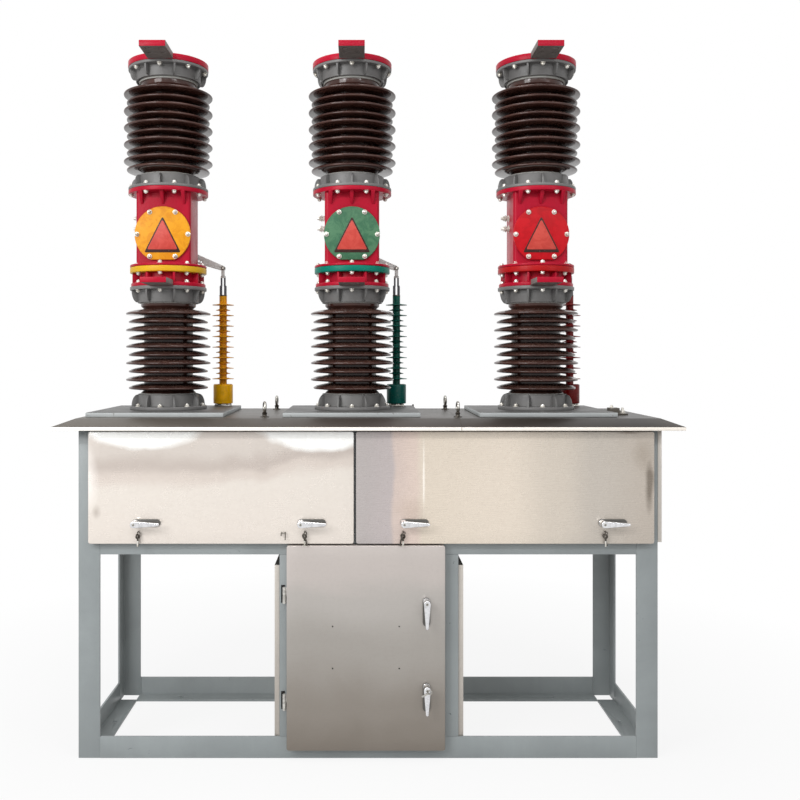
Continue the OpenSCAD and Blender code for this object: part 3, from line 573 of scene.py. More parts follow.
# Painted light on the left panel: the tones along Z, with their darker band below the top, and the two
# near-white patches at the top are painted reflections; the narrow light patch at the left fold is a painted
# highlight, and the small dark spot below it is painted shade.
LEFT_PANEL = SheetSteel(
    "panel_sheet_left",
    ((0.0, srgb(227, 218, 209)), (0.55, srgb(228, 220, 211)), (0.68, srgb(216, 205, 196)),
     (0.78, srgb(197, 186, 178)), (0.9, srgb(212, 203, 195)), (1.0, srgb(216, 207, 199))),
    "Z", 0.753, 1.142, gloss=0.24, wander=0.10, smudge=0.05, smudge_colour=srgb(150, 132, 118), mottle=0.08,
    patches=(
        PaintedLightPatch((-0.79, 1.155), (0.215, 0.085), srgb(255, 255, 252), 1.0, 0.82, 0.10),
        PaintedLightPatch((-0.17, 1.160), (0.215, 0.090), srgb(255, 255, 252), 1.0, 0.82, 0.12),
        PaintedLightPatch((-0.98, 0.98), (0.05, 0.16), srgb(252, 246, 240), 0.8, 0.2, 0.2),
        PaintedLightPatch((-0.94, 0.86), (0.02, 0.03), srgb(150, 138, 128), 0.5, 0.2, 0.5),
    ),
)
# Painted light on the right panel: the tones along X, lighter in the middle and darker at both ends, are
# painted reflections; the thin bright streak is a painted highlight, the soft darker patch above lever 3 is a
# painted reflection of the lever, and the dark patches by the right edge and under the top are painted shade.
RIGHT_PANEL = SheetSteel(
    "panel_sheet_right",
    ((0.0, srgb(181, 174, 172)), (0.115, srgb(187, 178, 177)), (0.135, srgb(210, 193, 184)),
     (0.20, srgb(218, 200, 189)), (0.23, srgb(221, 209, 193)), (0.50, srgb(225, 213, 198)),
     (0.68, srgb(209, 199, 186)), (0.80, srgb(194, 186, 176)), (1.0, srgb(188, 178, 167))),
    "X", -0.042, 0.989, gloss=0.26, wander=0.016, smudge=0.07, smudge_colour=srgb(128, 112, 98), mottle=0.09,
    patches=(
        PaintedLightPatch((0.192, 0.99), (0.0045, 0.15), srgb(255, 248, 238), 0.9, 0.3, 0.4),
        PaintedLightPatch((0.950, 1.07), (0.055, 0.075), srgb(158, 146, 132), 0.55, 0.2, 0.5),
        PaintedLightPatch((0.972, 0.95), (0.016, 0.105), srgb(112, 102, 90), 0.8, 0.3, 0.4),
        PaintedLightPatch((0.900, 1.137), (0.06, 0.007), srgb(120, 106, 94), 0.6, 0.3, 0.5),
        PaintedLightPatch((0.15, 0.87), (0.06, 0.05), srgb(196, 178, 164), 0.5, 0.1, 0.5),
    ),
)
# Painted reflection: the door's tones along Z, dark at the bottom and light at the top, stand for the floor
# reflected in the sheet.
DOOR_SHEET = SheetSteel(
    "door_sheet",
    ((0.0, srgb(123, 115, 106)), (0.2, srgb(139, 132, 124)), (0.5, srgb(161, 156, 150)),
     (0.72, srgb(178, 173, 168)), (0.86, srgb(191, 183, 178)), (1.0, srgb(194, 186, 181))),
    "Z", 0.039, 0.747, gloss=0.36, wander=0.05, grain=(3, 3, 220), smudge=0.07,
    smudge_colour=srgb(110, 94, 82), mottle=0.06,
)
BODY_SHEET = SheetSteel(
    "cabinet_sheet", ((0.0, srgb(177, 170, 162)), (1.0, srgb(201, 195, 187))), "Z", 0.0, 0.7, gloss=0.34,
)
REAR_SHEET = SheetSteel(
    "rear_sheet", ((0.0, srgb(180, 173, 164)), (1.0, srgb(199, 191, 182))), "Z", 0.75, 1.15, gloss=0.3,
)
# Painted light and shade on the roof: the tones along X are lighter at the left end and darker towards the
# right, with a narrow darker line right of the middle and a lighter right end.
ROOF_SHEET = SheetSteel(
    "roof_sheet",
    ((0.0, srgb(97, 92, 86)), (0.18, srgb(89, 84, 78)), (0.30, srgb(76, 71, 65)), (0.42, srgb(71, 65, 60)),
     (0.535, srgb(63, 56, 52)), (0.545, srgb(71, 65, 60)), (0.66, srgb(59, 54, 48)), (0.8, srgb(47, 42, 37)),
     (0.93, srgb(42, 37, 34)), (1.0, srgb(65, 60, 55))),
    "X", -1.085, 1.085, gloss=0.4, metal=0.3, wander=0.01, grain=(160, 3, 3), smudge=0.2,
    smudge_colour=srgb(70, 60, 54),
)
# Painted shade: the cabinet's top, in the shade under the mechanism box, takes this near-black sheet.
CABINET_TOP_SHADE = Paint(
    "cabinet_top_painted_shade", srgb(44, 43, 42), gloss=0.5, chips=0.03, chip_colour=srgb(96, 92, 88)
)
LINK_STEEL = Paint(
    "link_steel_paint", srgb(206, 205, 202), gloss=0.42, clouds=0.14, chips=0.04,
    chip_colour=srgb(112, 110, 106)
)
# Painted highlight: the folded lip of the roof takes this near-white, almost unmetallic copy of the roof
# sheet.
LIP_HIGHLIGHT = SheetSteel(
    "roof_lip_painted_highlight", ((0.0, srgb(255, 252, 246)), (1.0, srgb(248, 240, 230))), "X", -1.085, 1.085, gloss=0.3,
    metal=0.05, smudge=0.12,
)


# ---------------------------------------------------------------- workshop


def arc(centre: Point, radius: float, start: float, end: float, steps: int) -> list[Point]:
    """Points along a round stretch of an outline.

    Args:
        centre: Middle of the circle, as distance from the axis and height.
        radius: Radius of the circle.
        start: First angle in degrees.
        end: Last angle in degrees.
        steps: Number of stretches between them.

    Returns:
        The points from start to end.
    """
    turns = [math.radians(start + (end - start) * i / steps) for i in range(steps + 1)]
    return [(centre[0] + radius * math.cos(a), centre[1] + radius * math.sin(a)) for a in turns]


def flange(width: float, thickness: float, root: float = 0.0) -> list[Point]:
    """Outline of a round flange, up to its upper rim.

    Args:
        width: Radius of the flange.
        thickness: Its thickness.
        root: Radius where its underside starts.

    Returns:
        The points from the root to the end of the upper rounding.
    """
    below, above = 0.002, 0.003
    outline = [(root, 0)] + arc((width - below, below), below, -90, 0, 3)
    return outline + arc((width - above, thickness - above), above, 0, 90, 4)


def tube(inner: float, outer: float, tall: float) -> list[Point]:
    """Outline of a tube, closed all around."""
    return [(inner, 0), (outer, 0), (outer, tall), (inner, tall), (inner, 0)]


def held(value: float) -> float:
    """Returns a number held between 0 and 1."""
    return min(1.0, max(0.0, value))


def cuboid(size: Sequence[float], middle: Sequence[float] = (0, 0, 0)) -> bmesh.types.BMesh:
    """Returns the mesh of a sharp-edged block, from its size and its middle."""
    part = bmesh.new()
    bmesh.ops.create_cube(part, size=1.0)
    bmesh.ops.scale(part, vec=size, verts=part.verts)
    bmesh.ops.translate(part, vec=middle, verts=part.verts)
    return part


def extruded(corners: Iterable[Sequence[float]], lift: Sequence[float]) -> bmesh.types.BMesh:
    """Returns the closed mesh of an outline drawn out along a straight line."""
    part = bmesh.new()
    face = part.faces.new([part.verts.new(corner) for corner in corners])
    grown = bmesh.ops.extrude_face_region(part, geom=[face])
    raised = [v for v in grown["geom"] if isinstance(v, bmesh.types.BMVert)]
    bmesh.ops.translate(part, vec=lift, verts=raised)
    bmesh.ops.recalc_face_normals(part, faces=part.faces)
    return part


def spin(part: bmesh.types.BMesh, steps: int) -> None:
    """Turns the edges of a mesh once around the upright axis, in a number of steps."""
    bmesh.ops.spin(
        part, geom=part.verts[:] + part.edges[:], axis=(0, 0, 1), cent=(0, 0, 0), angle=2 * math.pi,
        steps=steps, use_merge=True,
    )
    bmesh.ops.remove_doubles(part, verts=part.verts, dist=1e-6)
    bmesh.ops.recalc_face_normals(part, faces=part.faces)


def edges_along(part: bmesh.types.BMesh, axis: int) -> list[bmesh.types.BMEdge]:
    """Returns the edges of a block that run along one axis."""
    return [e for e in part.edges if abs((e.verts[0].co - e.verts[1].co).normalized()[axis]) > 0.9]


def bevel(
    part: bmesh.types.BMesh, edges: Sequence[bmesh.types.BMEdge], width: float, segments: int,
    clamp: bool = False
) -> None:
    """Rounds some edges of a mesh.

    Args:
        part: The mesh.
        edges: The edges to round.
        width: Width of the rounding.
        segments: Number of faces across it.
        clamp: Whether roundings that would meet are held back.
    """
    bmesh.ops.bevel(
        part, geom=edges, offset=width, offset_type="OFFSET", segments=segments, profile=0.5,
        affect="EDGES", clamp_overlap=clamp, material=-1,
    )


def soften(part: bmesh.types.BMesh, width: float, segments: int = 2, angle: float = 30.0) -> None:
    """Rounds all sharp edges of a mesh.

    Args:
        part: The mesh.
        width: Width of the rounding.
        segments: Number of faces across it.
        angle: Smallest angle between faces that counts as sharp, in degrees.
    """
    limit = math.radians(angle)
    sharp = [e for e in part.edges if len(e.link_faces) == 2 and e.calc_face_angle(0.0) > limit]
    bevel(part, sharp, width, segments, True)


class Workpiece:
    """A mesh that grows from turned, cut and bevelled parts and becomes one named piece."""

    def __init__(self, name: str) -> None:
        """Starts an empty mesh under the piece's name."""
        self.name = name
        self.bm = bmesh.new()
        self.materials: list[bpy.types.Material] = []

    def index(self, finish: Finish) -> int:
        """Returns the number of a finish in the piece, and adds it on first use."""
        made = finish.material()
        if made not in self.materials:
            self.materials.append(made)
        return self.materials.index(made)

    def take(self, part: bmesh.types.BMesh, at: Vector, turn: Euler, finish: Finish) -> None:
        """Moves a finished part into the piece.

        Args:
            part: The part's mesh, which is used up.
            at: Where its origin goes.
            turn: How it is turned first.
            finish: Its finish.
        """
        place = Matrix.Translation(at) @ turn.to_matrix().to_4x4()
        bmesh.ops.transform(part, matrix=place, verts=part.verts)
        index = self.index(finish)
        for face in part.faces:
            face.material_index = index
        rest = bpy.data.meshes.new("part")
        part.to_mesh(rest)
        part.free()
        self.bm.from_mesh(rest)
        bpy.data.meshes.remove(rest)

    def turned(
        self, outline: Sequence[Point], at: Vector, finish: Finish, steps: int = 96, turn: Euler = Euler()
    ) -> None:
        """Adds a part turned on a lathe.

        Args:
            outline: Distance from the axis and height of each corner, from the bottom up.
            at: Where the axis starts.
            finish: Finish of the part.
            steps: Number of faces around it.
            turn: How the axis is turned from straight up.
        """
        part = bmesh.new()
        corners = [part.verts.new((r, 0, z)) for r, z in outline]
        for first, second in zip(corners, corners[1:]):
            part.edges.new((first, second))
        spin(part, steps)
        self.take(part, at, turn, finish)

    def block(
        self, size: Sequence[float], at: Vector, finish: Finish, edge: float = 0.001, turn: Euler = Euler()
    ) -> None:
        """Adds a block with bevelled edges.

        Args:
            size: Its width, depth and height.
            at: Its middle.
            finish: Finish of the part.
            edge: Width of the bevels.
            turn: How it is turned about its middle.
        """
        part = cuboid(size)
        if edge:
            soften(part, edge)
        self.take(part, at, turn, finish)

    def rod(
        self, radius: float, length: float, at: Vector, finish: Finish, turn: Euler = Euler(),
        end_radius: Optional[float] = None, sides: int = 24, edge: float = 0.0,
    ) -> None:
        """Adds a round, hexagonal or conical rod.

        Args:
            radius: Radius at its foot.
            length: Its length along its axis.
            at: Middle of its foot.
            finish: Finish of the part.
            turn: How the axis is turned from straight up.
            end_radius: Radius at its end, or None for the same.
            sides: Number of faces around it.
            edge: Rounding of its rims.
        """
        part = bmesh.new()
        end = radius if end_radius is None else end_radius
        bmesh.ops.create_cone(
            part, cap_ends=True, segments=sides, radius1=radius, radius2=end, depth=length
        )
        bmesh.ops.translate(part, vec=(0, 0, length / 2), verts=part.verts)
        if edge:
            soften(part, edge, 2, 50.0)
        self.take(part, at, turn, finish)

    def slab(
        self, corners: Sequence[Point], thickness: float, at: Vector, finish: Finish, turn: Euler = Euler(),
        edge: float = 0.0
    ) -> None:
        """Adds a plate cut to an outline.

        Args:
            corners: Outline of the plate.
            thickness: Its thickness, upwards from the outline.
            at: Where the outline's origin goes.
            finish: Finish of the part.
            turn: How the plate is turned from lying flat.
            edge: Rounding of its sharp edges.
        """
        part = extruded(((x, y, 0) for x, y in corners), (0, 0, thickness))
        if edge:
            soften(part, edge)
        self.take(part, at, turn, finish)

    def ring(
        self, radius: float, wire: float, at: Vector, finish: Finish, turn: Euler = Euler(), steps: int = 40,
        sides: int = 12
    ) -> None:
        """Adds a ring bent from round bar.

        Args:
            radius: Radius to the middle of the bar.
            wire: Radius of the bar.
            at: Middle of the ring.
            finish: Finish of the part.
            turn: How the ring is turned from lying flat.
            steps: Faces along the ring.
            sides: Faces around the bar.
        """
        part = bmesh.new()
        bmesh.ops.create_circle(part, segments=sides, radius=wire)
        place = Matrix.Translation((radius, 0, 0)) @ Matrix.Rotation(math.pi / 2, 4, "X")
        bmesh.ops.transform(part, matrix=place, verts=part.verts)
        spin(part, steps)
        self.take(part, at, turn, finish)

    def nut(
        self, radius: float, at: Vector, facing: Facing, finish: Finish = NUT_ZINC, stud: float = 0.4
    ) -> None:
        """Adds a washer, a nut and the end of its bolt.

        Args:
            radius: Radius across the nut's corners.
            at: Where the washer lies.
            facing: Where the nut points.
            finish: Finish of the metal.
            stud: How far the bolt stands out, as a share of the radius.
        """
        turn = facing.value
        out = turn.to_matrix() @ Vector((0, 0, 1))
        washer, height = radius * 0.22, radius * 0.85
        self.rod(radius * 1.28, washer, at, finish, turn, sides=20)
        self.rod(radius, height, at + out * washer, finish, turn, sides=6, edge=radius * 0.08)
        if stud:
            end = at + out * (washer + height)
            self.rod(radius * 0.55, radius * stud, end, finish, turn, end_radius=radius * 0.45, sides=14)

    def round_row(
        self, count: int, first: float, radius: float, centre: Vector,
        add: Callable[["Workpiece", Vector, float], None]
    ) -> None:
        """Repeats a part around an upright axis.

        Args:
            count: Number of parts.
            first: Angle of the first one in degrees, from the front.
            radius: Distance from the axis.
            centre: Point on the axis.
            add: Adds one part at a place and an angle in radians from +X.
        """
        for i in range(count):
            angle = math.radians(first - 90 + i * 360 / count)
            add(self, centre + Vector((math.cos(angle), math.sin(angle), 0)) * radius, angle)

    def repaint(self, choose: Callable[[bmesh.types.BMFace], Optional[Finish]]) -> None:
        """Gives some faces another finish.

        Args:
            choose: Returns the finish of a face, or None to leave it.
        """
        self.bm.normal_update()
        for face in self.bm.faces:
            finish = choose(face)
            if finish is not None:
                face.material_index = self.index(finish)

    def done(
        self, body: str, slot: str, replaces: Iterable[str] = (), smooth: float = 34.0
    ) -> bpy.types.Object:
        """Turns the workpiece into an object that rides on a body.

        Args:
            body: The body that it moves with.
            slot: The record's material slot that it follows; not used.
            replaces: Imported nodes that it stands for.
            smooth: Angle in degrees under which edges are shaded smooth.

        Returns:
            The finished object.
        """
        mesh = bpy.data.meshes.new(self.name)
        self.bm.to_mesh(mesh)
        self.bm.free()
        for material in self.materials:
            mesh.materials.append(material)
        mesh.polygons.foreach_set("use_smooth", [True] * len(mesh.polygons))
        mesh.set_sharp_from_angle(angle=math.radians(smooth))
        made = bpy.data.objects.new(self.name, mesh)
        bpy.context.scene.collection.objects.link(made)
        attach(made, body)
        nodes = list(replaces)
        if nodes:
            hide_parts(*nodes)
        LOG.info("%s: %d faces on %s", self.name, len(mesh.polygons), body)
        return made


class Packed:
    """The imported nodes, as boxes to measure from and as meshes to dress."""

    def __init__(
        self, nodes: dict[str, bpy.types.Object], bodies: dict[str, list[str]], slots: dict[str, str],
        joints: list[dict]
    ) -> None:
        """Keeps the nodes with the body and the slot of each, and the joints."""
        self.nodes = nodes
        self.joints = joints
        self.body = {node: body for body, members in bodies.items() for node in members}
        self.slots = slots

    def low(self, node: str) -> Vector:
        """Returns the lowest corner of a node's box."""
        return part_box(node)[0]

    def high(self, node: str) -> Vector:
        """Returns the highest corner of a node's box."""
        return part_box(node)[1]

    def middle(self, node: str) -> Vector:
        """Returns the middle of a node's box."""
        low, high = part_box(node)
        return (low + high) / 2

    def joint(self, name: str) -> dict:
        """Returns a joint of the record by its name."""
        return next(joint for joint in self.joints if joint["name"] == name)

    def eased(
        self, name: str, finish: Finish, edge: float,
        also: Optional[Callable[[bmesh.types.BMFace], Optional[Finish]]] = None,
        score: Optional[float] = None,
    ) -> bpy.types.Object:
        """Rebuilds a plain node with rounded edges.

        Args:
            name: The node.
            finish: Finish of the new piece.
            edge: Rounding of the edges.
            also: Picks another finish for some of the faces.
            score: Where the faces are parted across Y, so that a finish can end there.

        Returns:
            The piece that stands for the node.
        """
        piece = Workpiece(f"{name}_eased")
        part = bmesh.new()
        part.from_mesh(self.nodes[name].data)
        bmesh.ops.remove_doubles(part, verts=part.verts, dist=1e-5)
        bmesh.ops.dissolve_limit(part, angle_limit=math.radians(0.5), verts=part.verts, edges=part.edges)
        bmesh.ops.recalc_face_normals(part, faces=part.faces)
        soften(part, edge, 2)
        if score is not None:
            geometry = part.verts[:] + part.edges[:] + part.faces[:]
            bmesh.ops.bisect_plane(part, geom=geometry, plane_co=(0, score, 0), plane_no=(0, 1, 0))
        piece.take(part, Vector(), Euler(), finish)
        if also is not None:
            piece.repaint(also)
        return piece.done(self.body[name], self.slots[name], [name])


# ---------------------------------------------------------------- frame and roof


@dataclass
class SteelFrame:
    """Welded angle-steel frame that carries everything."""

    packed: Packed
    edge: float = 0.0014
    bead: float = 0.0035
    leg: float = 0.075
    steel: float = 0.008

    def build(self) -> None:
        """Dresses the frame's angles and lays the weld beads at their joints."""
        for node in (
            "corner_legs", "bottom_rails", "shelf_rails", "roof_rails", "cabinet_posts", "box_mullions"
        ):
            self.packed.eased(node, FRAME_PAINT, self.edge)
        self.welds()

    def welds(self) -> None:
        """Lays weld beads where the rails meet the legs."""
        low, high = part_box("corner_legs")
        shelf = self.packed.high("shelf_rails").z
        piece = Workpiece("frame_weld_beads")
        for side in (-1, 1):
            x = (low.x if side < 0 else high.x) - side * self.leg
            for y in (low.y + self.steel, high.y - self.steel):
                piece.rod(self.bead, self.leg - self.steel, Vector((x, y, self.steel)), FRAME_PAINT, sides=8)
                piece.rod(
                    self.bead, self.leg - self.steel, Vector((x, y, shelf - self.leg)), FRAME_PAINT, sides=8
                )
            for y, facing in ((low.y + self.leg, Facing.REAR), (high.y - self.leg, Facing.FRONT)):
                for z in (self.steel, shelf - self.steel):
                    at = Vector((x + side * (self.leg - self.steel), y, z))
                    piece.rod(self.bead, self.bead * 4, at, FRAME_PAINT, facing.value, sides=8)
        piece.done("frame", "frame_paint")


@dataclass
class RoofCover:
    """Sheet roof with its lip, a joint line, the three mounting plates, the eyes and the earth lug."""

    packed: Packed
    edge: float = 0.0016
    seam_width: float = 0.0016
    seam_height: float = 0.0008
    shank: float = 0.0075
    collar: float = 0.015
    ring: float = 0.016
    wire: float = 0.0052
    lip: float = 0.012
    overlap: float = 0.008
    earth_bolt: float = 0.0525
    earth_plate: float = 0.006
    twists: tuple[float, ...] = (13, -2, 2, 3)

    def build(self) -> None:
        """Dresses the roof and what is bolted to it."""
        lip_top = self.packed.low("roof").z + self.lip

        def bright(face: bmesh.types.BMFace) -> Optional[Finish]:
            """Picks out the folded lip, which takes a near-white copy of the roof sheet as a painted
            highlight.
            """
            return LIP_HIGHLIGHT if face.calc_center_median().z < lip_top and abs(face.normal.z) < 0.6 else None

        self.packed.eased("roof", ROOF_SHEET, self.edge, also=bright)
        plate_top = self.packed.high("mounting_plates").z

        def upper(face: bmesh.types.BMFace) -> Optional[Finish]:
            """Picks out the upper faces of the plates, which take a darker copy of the plate paint as a
            painted reflection.
            """
            on_top = face.normal.z > 0.7 and face.calc_center_median().z > plate_top - 0.001
            return PLATE_TOP_REFLECTION if on_top else None

        self.packed.eased("mounting_plates", PLATE_PAINT, 0.002, also=upper)
        self.seam()
        for eye, place in enumerate(self.eye_places(), 1):
            self.lifting_eye(eye, place)
        self.earth_point()

    def eye_places(self) -> list[Vector]:
        """Returns the foot of each lifting eye."""
        low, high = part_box("lifting_eyes")
        left, right = low.x + self.collar, high.x - self.collar
        reach = high.y - self.ring - self.wire
        return [Vector((x, y, low.z)) for x in (left, right) for y in (-reach, reach)]

    def seam(self) -> None:
        """Lays the joint between the two halves of the roof sheet."""
        low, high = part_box("roof")
        x = self.eye_places()[2].x
        front = Workpiece("roof_sheet_joint")
        flat = self.packed.low("corner_legs").y
        bend = flat - self.overlap
        slope = Vector((0, bend - low.y, high.z - low.z - self.lip))
        turn = Euler((math.atan2(slope.z, slope.y), 0, 0))
        middle = Vector((x, (low.y + bend) / 2, (high.z + low.z + self.lip) / 2))
        front.block((self.seam_width, slope.length, self.seam_height), middle, DARK_STEEL, 0.0, turn)
        fold = Vector((x, low.y + self.seam_height / 2, low.z + self.lip / 2))
        front.block((self.seam_width, self.seam_height, self.lip), fold, DARK_STEEL, 0.0)
        front.block((self.seam_width, -2 * flat, self.seam_height), Vector((x, 0, high.z)), DARK_STEEL, 0.0)
        front.done("frame", "stainless_roof")

    def lifting_eye(self, number: int, foot: Vector) -> None:
        """Builds one screwed-in lifting eye.

        Args:
            number: Number of the eye.
            foot: Where it stands on the roof.
        """
        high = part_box("lifting_eyes")[1]
        piece = Workpiece(f"lifting_eye_{number}_forged")
        centre = Vector((foot.x, foot.y, high.z - self.ring - self.wire))
        piece.turned(
            [(0, 0), (self.collar, 0), (self.collar, 0.003), (self.shank + 0.001, 0.004), (self.shank, 0.006),
             (self.shank, 0.010), (self.shank + 0.002, 0.014), (self.shank - 0.002, 0.019), (0, 0.019)],
            foot, DARK_STEEL, 32,
        )
        piece.rod(0.0150, 0.0022, foot, NUT_ZINC, sides=28, edge=0.0005)
        twist = Euler((0, math.pi / 2, math.radians(self.twists[number - 1])))
        piece.ring(self.ring, self.wire, centre, ZINC, twist)
        names = ["lifting_eyes"] if number == 1 else []
        piece.done("frame", "zinc", names)

    def earth_point(self) -> None:
        """Dresses the earth lug and gives it its bolt, and adds two small bolts of the roof."""
        self.packed.eased("earth_lug", LUG_PAINT, 0.0015)
        low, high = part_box("earth_lug")
        piece = Workpiece("earth_bolts")
        hole = Vector((low.x + self.earth_bolt, (low.y + high.y) / 2, low.z + self.earth_plate))
        piece.nut(0.0095, hole, Facing.UP, NUT_ZINC, 1.1)
        piece.nut(0.0065, Vector((low.x + 0.009, low.y + 0.009, high.z)), Facing.UP, NUT_ZINC, 0.6)
        rear = self.packed.high("mounting_plates").y
        piece.nut(0.007, Vector((0.19, rear + 0.03, low.z)), Facing.UP, DARK_STEEL, 1.6)
        piece.done("frame", "zinc")


# ---------------------------------------------------------------- panels and doors


@dataclass
class FoldedPanel:
    """A sheet-steel panel or door with folded edges, bases for its levers and hinge straps."""

    packed: Packed
    node: str
    finish: Finish
    levers: tuple[str, ...]
    corner: float = 0.008
    fold: float = 0.0022
    wall: float = 0.002
    pitch: float = 0.026
    dent: float = 0.0016
    waves: float = 3.0
    rim: float = 0.012
    rim_fade: float = 0.06
    lever_room: float = 0.05
    lever_fade: float = 0.1
    hub: float = 0.012
    base: float = 0.013
    base_length: float = 0.072
    base_height: float = 0.006
    upright_levers: bool = False

    def skin(self, low: Vector, high: Vector) -> bmesh.types.BMesh:
        """Folds the sheet.

        Args:
            low: Lowest corner of the panel's box.
            high: Highest corner of the panel's box.

        Returns:
            The open, wavy sheet with its wall.
        """
        part = cuboid(high - low, (low + high) / 2)
        bevel(part, edges_along(part, 1), self.corner, 4)
        rear = [f for f in part.faces if f.normal.y > 0.9]
        bmesh.ops.delete(part, geom=rear, context="FACES")
        front = [f for f in part.faces if f.normal.y < -0.9][0]
        bevel(part, list(front.edges), self.fold, 3)
        for axis, normal in ((0, (1, 0, 0)), (2, (0, 0, 1))):
            count = round((high[axis] - low[axis] - 4 * self.corner) / self.pitch)
            for i in range(1, count):
                place = low.copy()
                place[axis] += 2 * self.corner + (high[axis] - low[axis] - 4 * self.corner) * i / count
                geometry = part.verts[:] + part.edges[:] + part.faces[:]
                bmesh.ops.bisect_plane(part, geom=geometry, plane_co=place, plane_no=normal)
        self.dimple(part, low, high)
        part.normal_update()
        bmesh.ops.solidify(part, geom=part.faces[:], thickness=self.wall)
        bmesh.ops.recalc_face_normals(part, faces=part.faces)
        return part

    def dimple(self, part: bmesh.types.BMesh, low: Vector, high: Vector) -> None:
        """Presses soft dents into the front of the sheet, away from its folds and levers.

        Args:
            part: The sheet.
            low: Lowest corner of the panel's box.
            high: Highest corner of the panel's box.
        """
        pivots = [self.packed.middle(name) for name in self.levers]
        for vert in part.verts:
            if vert.co.y > low.y + 1e-5:
                continue
            margin = min(vert.co.x - low.x, high.x - vert.co.x, vert.co.z - low.z, high.z - vert.co.z)
            calm = held((margin - self.rim) / self.rim_fade)
            for pivot in pivots:
                away = math.hypot(vert.co.x - pivot.x, vert.co.z - pivot.z)
                calm *= held((away - self.lever_room) / self.lever_fade)
            pressed = 0.5 + 0.5 * noise.noise(vert.co * self.waves)
            vert.co.y += self.dent * calm * pressed

    def panel(self) -> Workpiece:
        """Returns the folded sheet with a long base under each lever."""
        low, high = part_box(self.node)
        front = self.front(low)
        piece = Workpiece(f"{self.node}_folded")
        body_low = Vector((self.sheet_left(low), front, low.z))
        body_high = Vector((high.x, high.y, self.sheet_top(high)))
        piece.take(self.skin(body_low, body_high), Vector(), Euler(), self.finish)
        for name in self.levers:
            at = self.pivot(name)
            outline = arc((0, 0), self.base, 90, 270, 14) + arc((self.base_length, 0), self.base, -90, 90, 14)
            if self.upright_levers:
                outline = [(z, -x) for x, z in outline]
            piece.slab(
                outline, self.base_height, Vector((at.x, front, at.z)), LEVER_BASE, Facing.FRONT.value, 0.0016
            )
            collar = [(0, 0), (0.0125, 0), (0.0125, 0.0022), (0.0115, 0.003), (0, 0.003)]
            piece.turned(
                collar, Vector((at.x, front - self.base_height + 0.0028, at.z)), CHROME, 40,
                Facing.FRONT.value
            )
        return piece

    def front(self, low: Vector) -> float:
        """Returns where the sheet's front lies, behind the levers' bases."""
        return low.y + self.base_height

    def sheet_left(self, low: Vector) -> float:
        """Returns the left edge of the sheet."""
        return low.x

    def sheet_top(self, high: Vector) -> float:
        """Returns the top edge of the sheet."""
        return high.z

    def hinge(self) -> Vector:
        """Returns the place of the panel's hinge in the record."""
        return Vector(self.packed.joint(f"{self.node}_hinge")["pos_m"])

    def pivot(self, lever: str) -> Vector:
        """Returns the turning point of a lever, in the middle of its spindle."""
        low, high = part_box(lever)
        if self.upright_levers:
            return Vector(((low.x + high.x) / 2, low.y, high.z - self.hub))
        return Vector((low.x + self.hub, low.y, (low.z + high.z) / 2))


@dataclass
class FrontFlap(FoldedPanel):
    """One of the two top-hinged panels of the mechanism box."""

    knuckle: float = 0.0045
    knuckle_length: float = 0.0397
    knuckle_places: tuple[float, ...] = (0.1, 0.5, 0.9)
    leaf: float = 0.002
    pin_gap: float = 0.0028

    def sheet_top(self, high: Vector) -> float:
        """Returns the top edge of the sheet, below the hinge knuckles."""
        return high.z - 2 * self.knuckle - 0.0015

    def build(self) -> None:
        """Builds the flap with the knuckles and leaves of its hinges."""
        low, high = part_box(self.node)
        piece = self.panel()
        axis_z = high.z - self.knuckle
        axis_y = self.hinge().y
        top = self.sheet_top(high)
        leaf_size = (self.knuckle_length - 0.0002, self.leaf, axis_z - top + self.leaf)
        outline = tube(self.pin_gap, self.knuckle, self.knuckle_length)
        for share in self.knuckle_places:
            x = low.x + share * (high.x - low.x)
            piece.turned(outline, Vector((x - 0.0003, axis_y, axis_z)), ZINC, 24, Facing.LEFT.value)
            leaf = Vector((x - 0.020, axis_y - self.knuckle + self.leaf / 2, (axis_z + top) / 2))
            piece.block(leaf_size, leaf, ZINC, 0.0004)
        piece.done(self.node, "stainless_panel", [self.node])


@dataclass
class CabinetDoor(FoldedPanel):
    """The control cabinet's door, hinged on its left, with four rivet holes shown as dark discs of painted
    shade.
    """

    knuckle: float = 0.006
    pin_gap: float = 0.0028
    upright_levers: bool = True
    hinge_length: float = 0.056
    hinge_heights: tuple[float, float] = (0.203, 0.573)
    rivet_span: tuple[float, float] = (0.230, 0.145)
    rivet_height: float = 0.396
    rivet_radius: float = 0.0025

    def sheet_left(self, low: Vector) -> float:
        """Returns the left edge of the sheet, right of its hinge knuckles."""
        return low.x + 2 * self.knuckle + 0.0025

    def build(self) -> None:
        """Builds the door with its hinge halves, and dark discs as painted shade of its rivet holes."""
        low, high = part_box(self.node)
        piece = self.panel()
        front = self.front(low)
        left = self.sheet_left(low)
        hinge_x = low.x + self.knuckle
        hinge_y = self.hinge().y
        half = self.hinge_length / 2
        for z in self.hinge_heights:
            outline = tube(self.pin_gap, self.knuckle, half)
            piece.turned(outline, Vector((hinge_x, hinge_y, z)), HINGE_ZINC, 28)
            leaf = Vector(((left + hinge_x) / 2 + 0.001, hinge_y, z + half / 2))
            piece.block((left - hinge_x, 0.004, half - 0.001), leaf, HINGE_ZINC, 0.0006)
        middle = (left + high.x) / 2
        wide, tall = self.rivet_span
        for side in (-1, 1):
            for row in (-1, 1):
                at = Vector((middle + side * wide / 2, front - 0.0003, self.rivet_height + row * tall / 2))
                # Each rivet hole is a dark rubber disc on the sheet: painted shade in place of the hole.
                piece.rod(self.rivet_radius, 0.004, at, GASKET, Facing.REAR.value, sides=16)
        piece.done(self.node, "stainless_panel", [self.node])


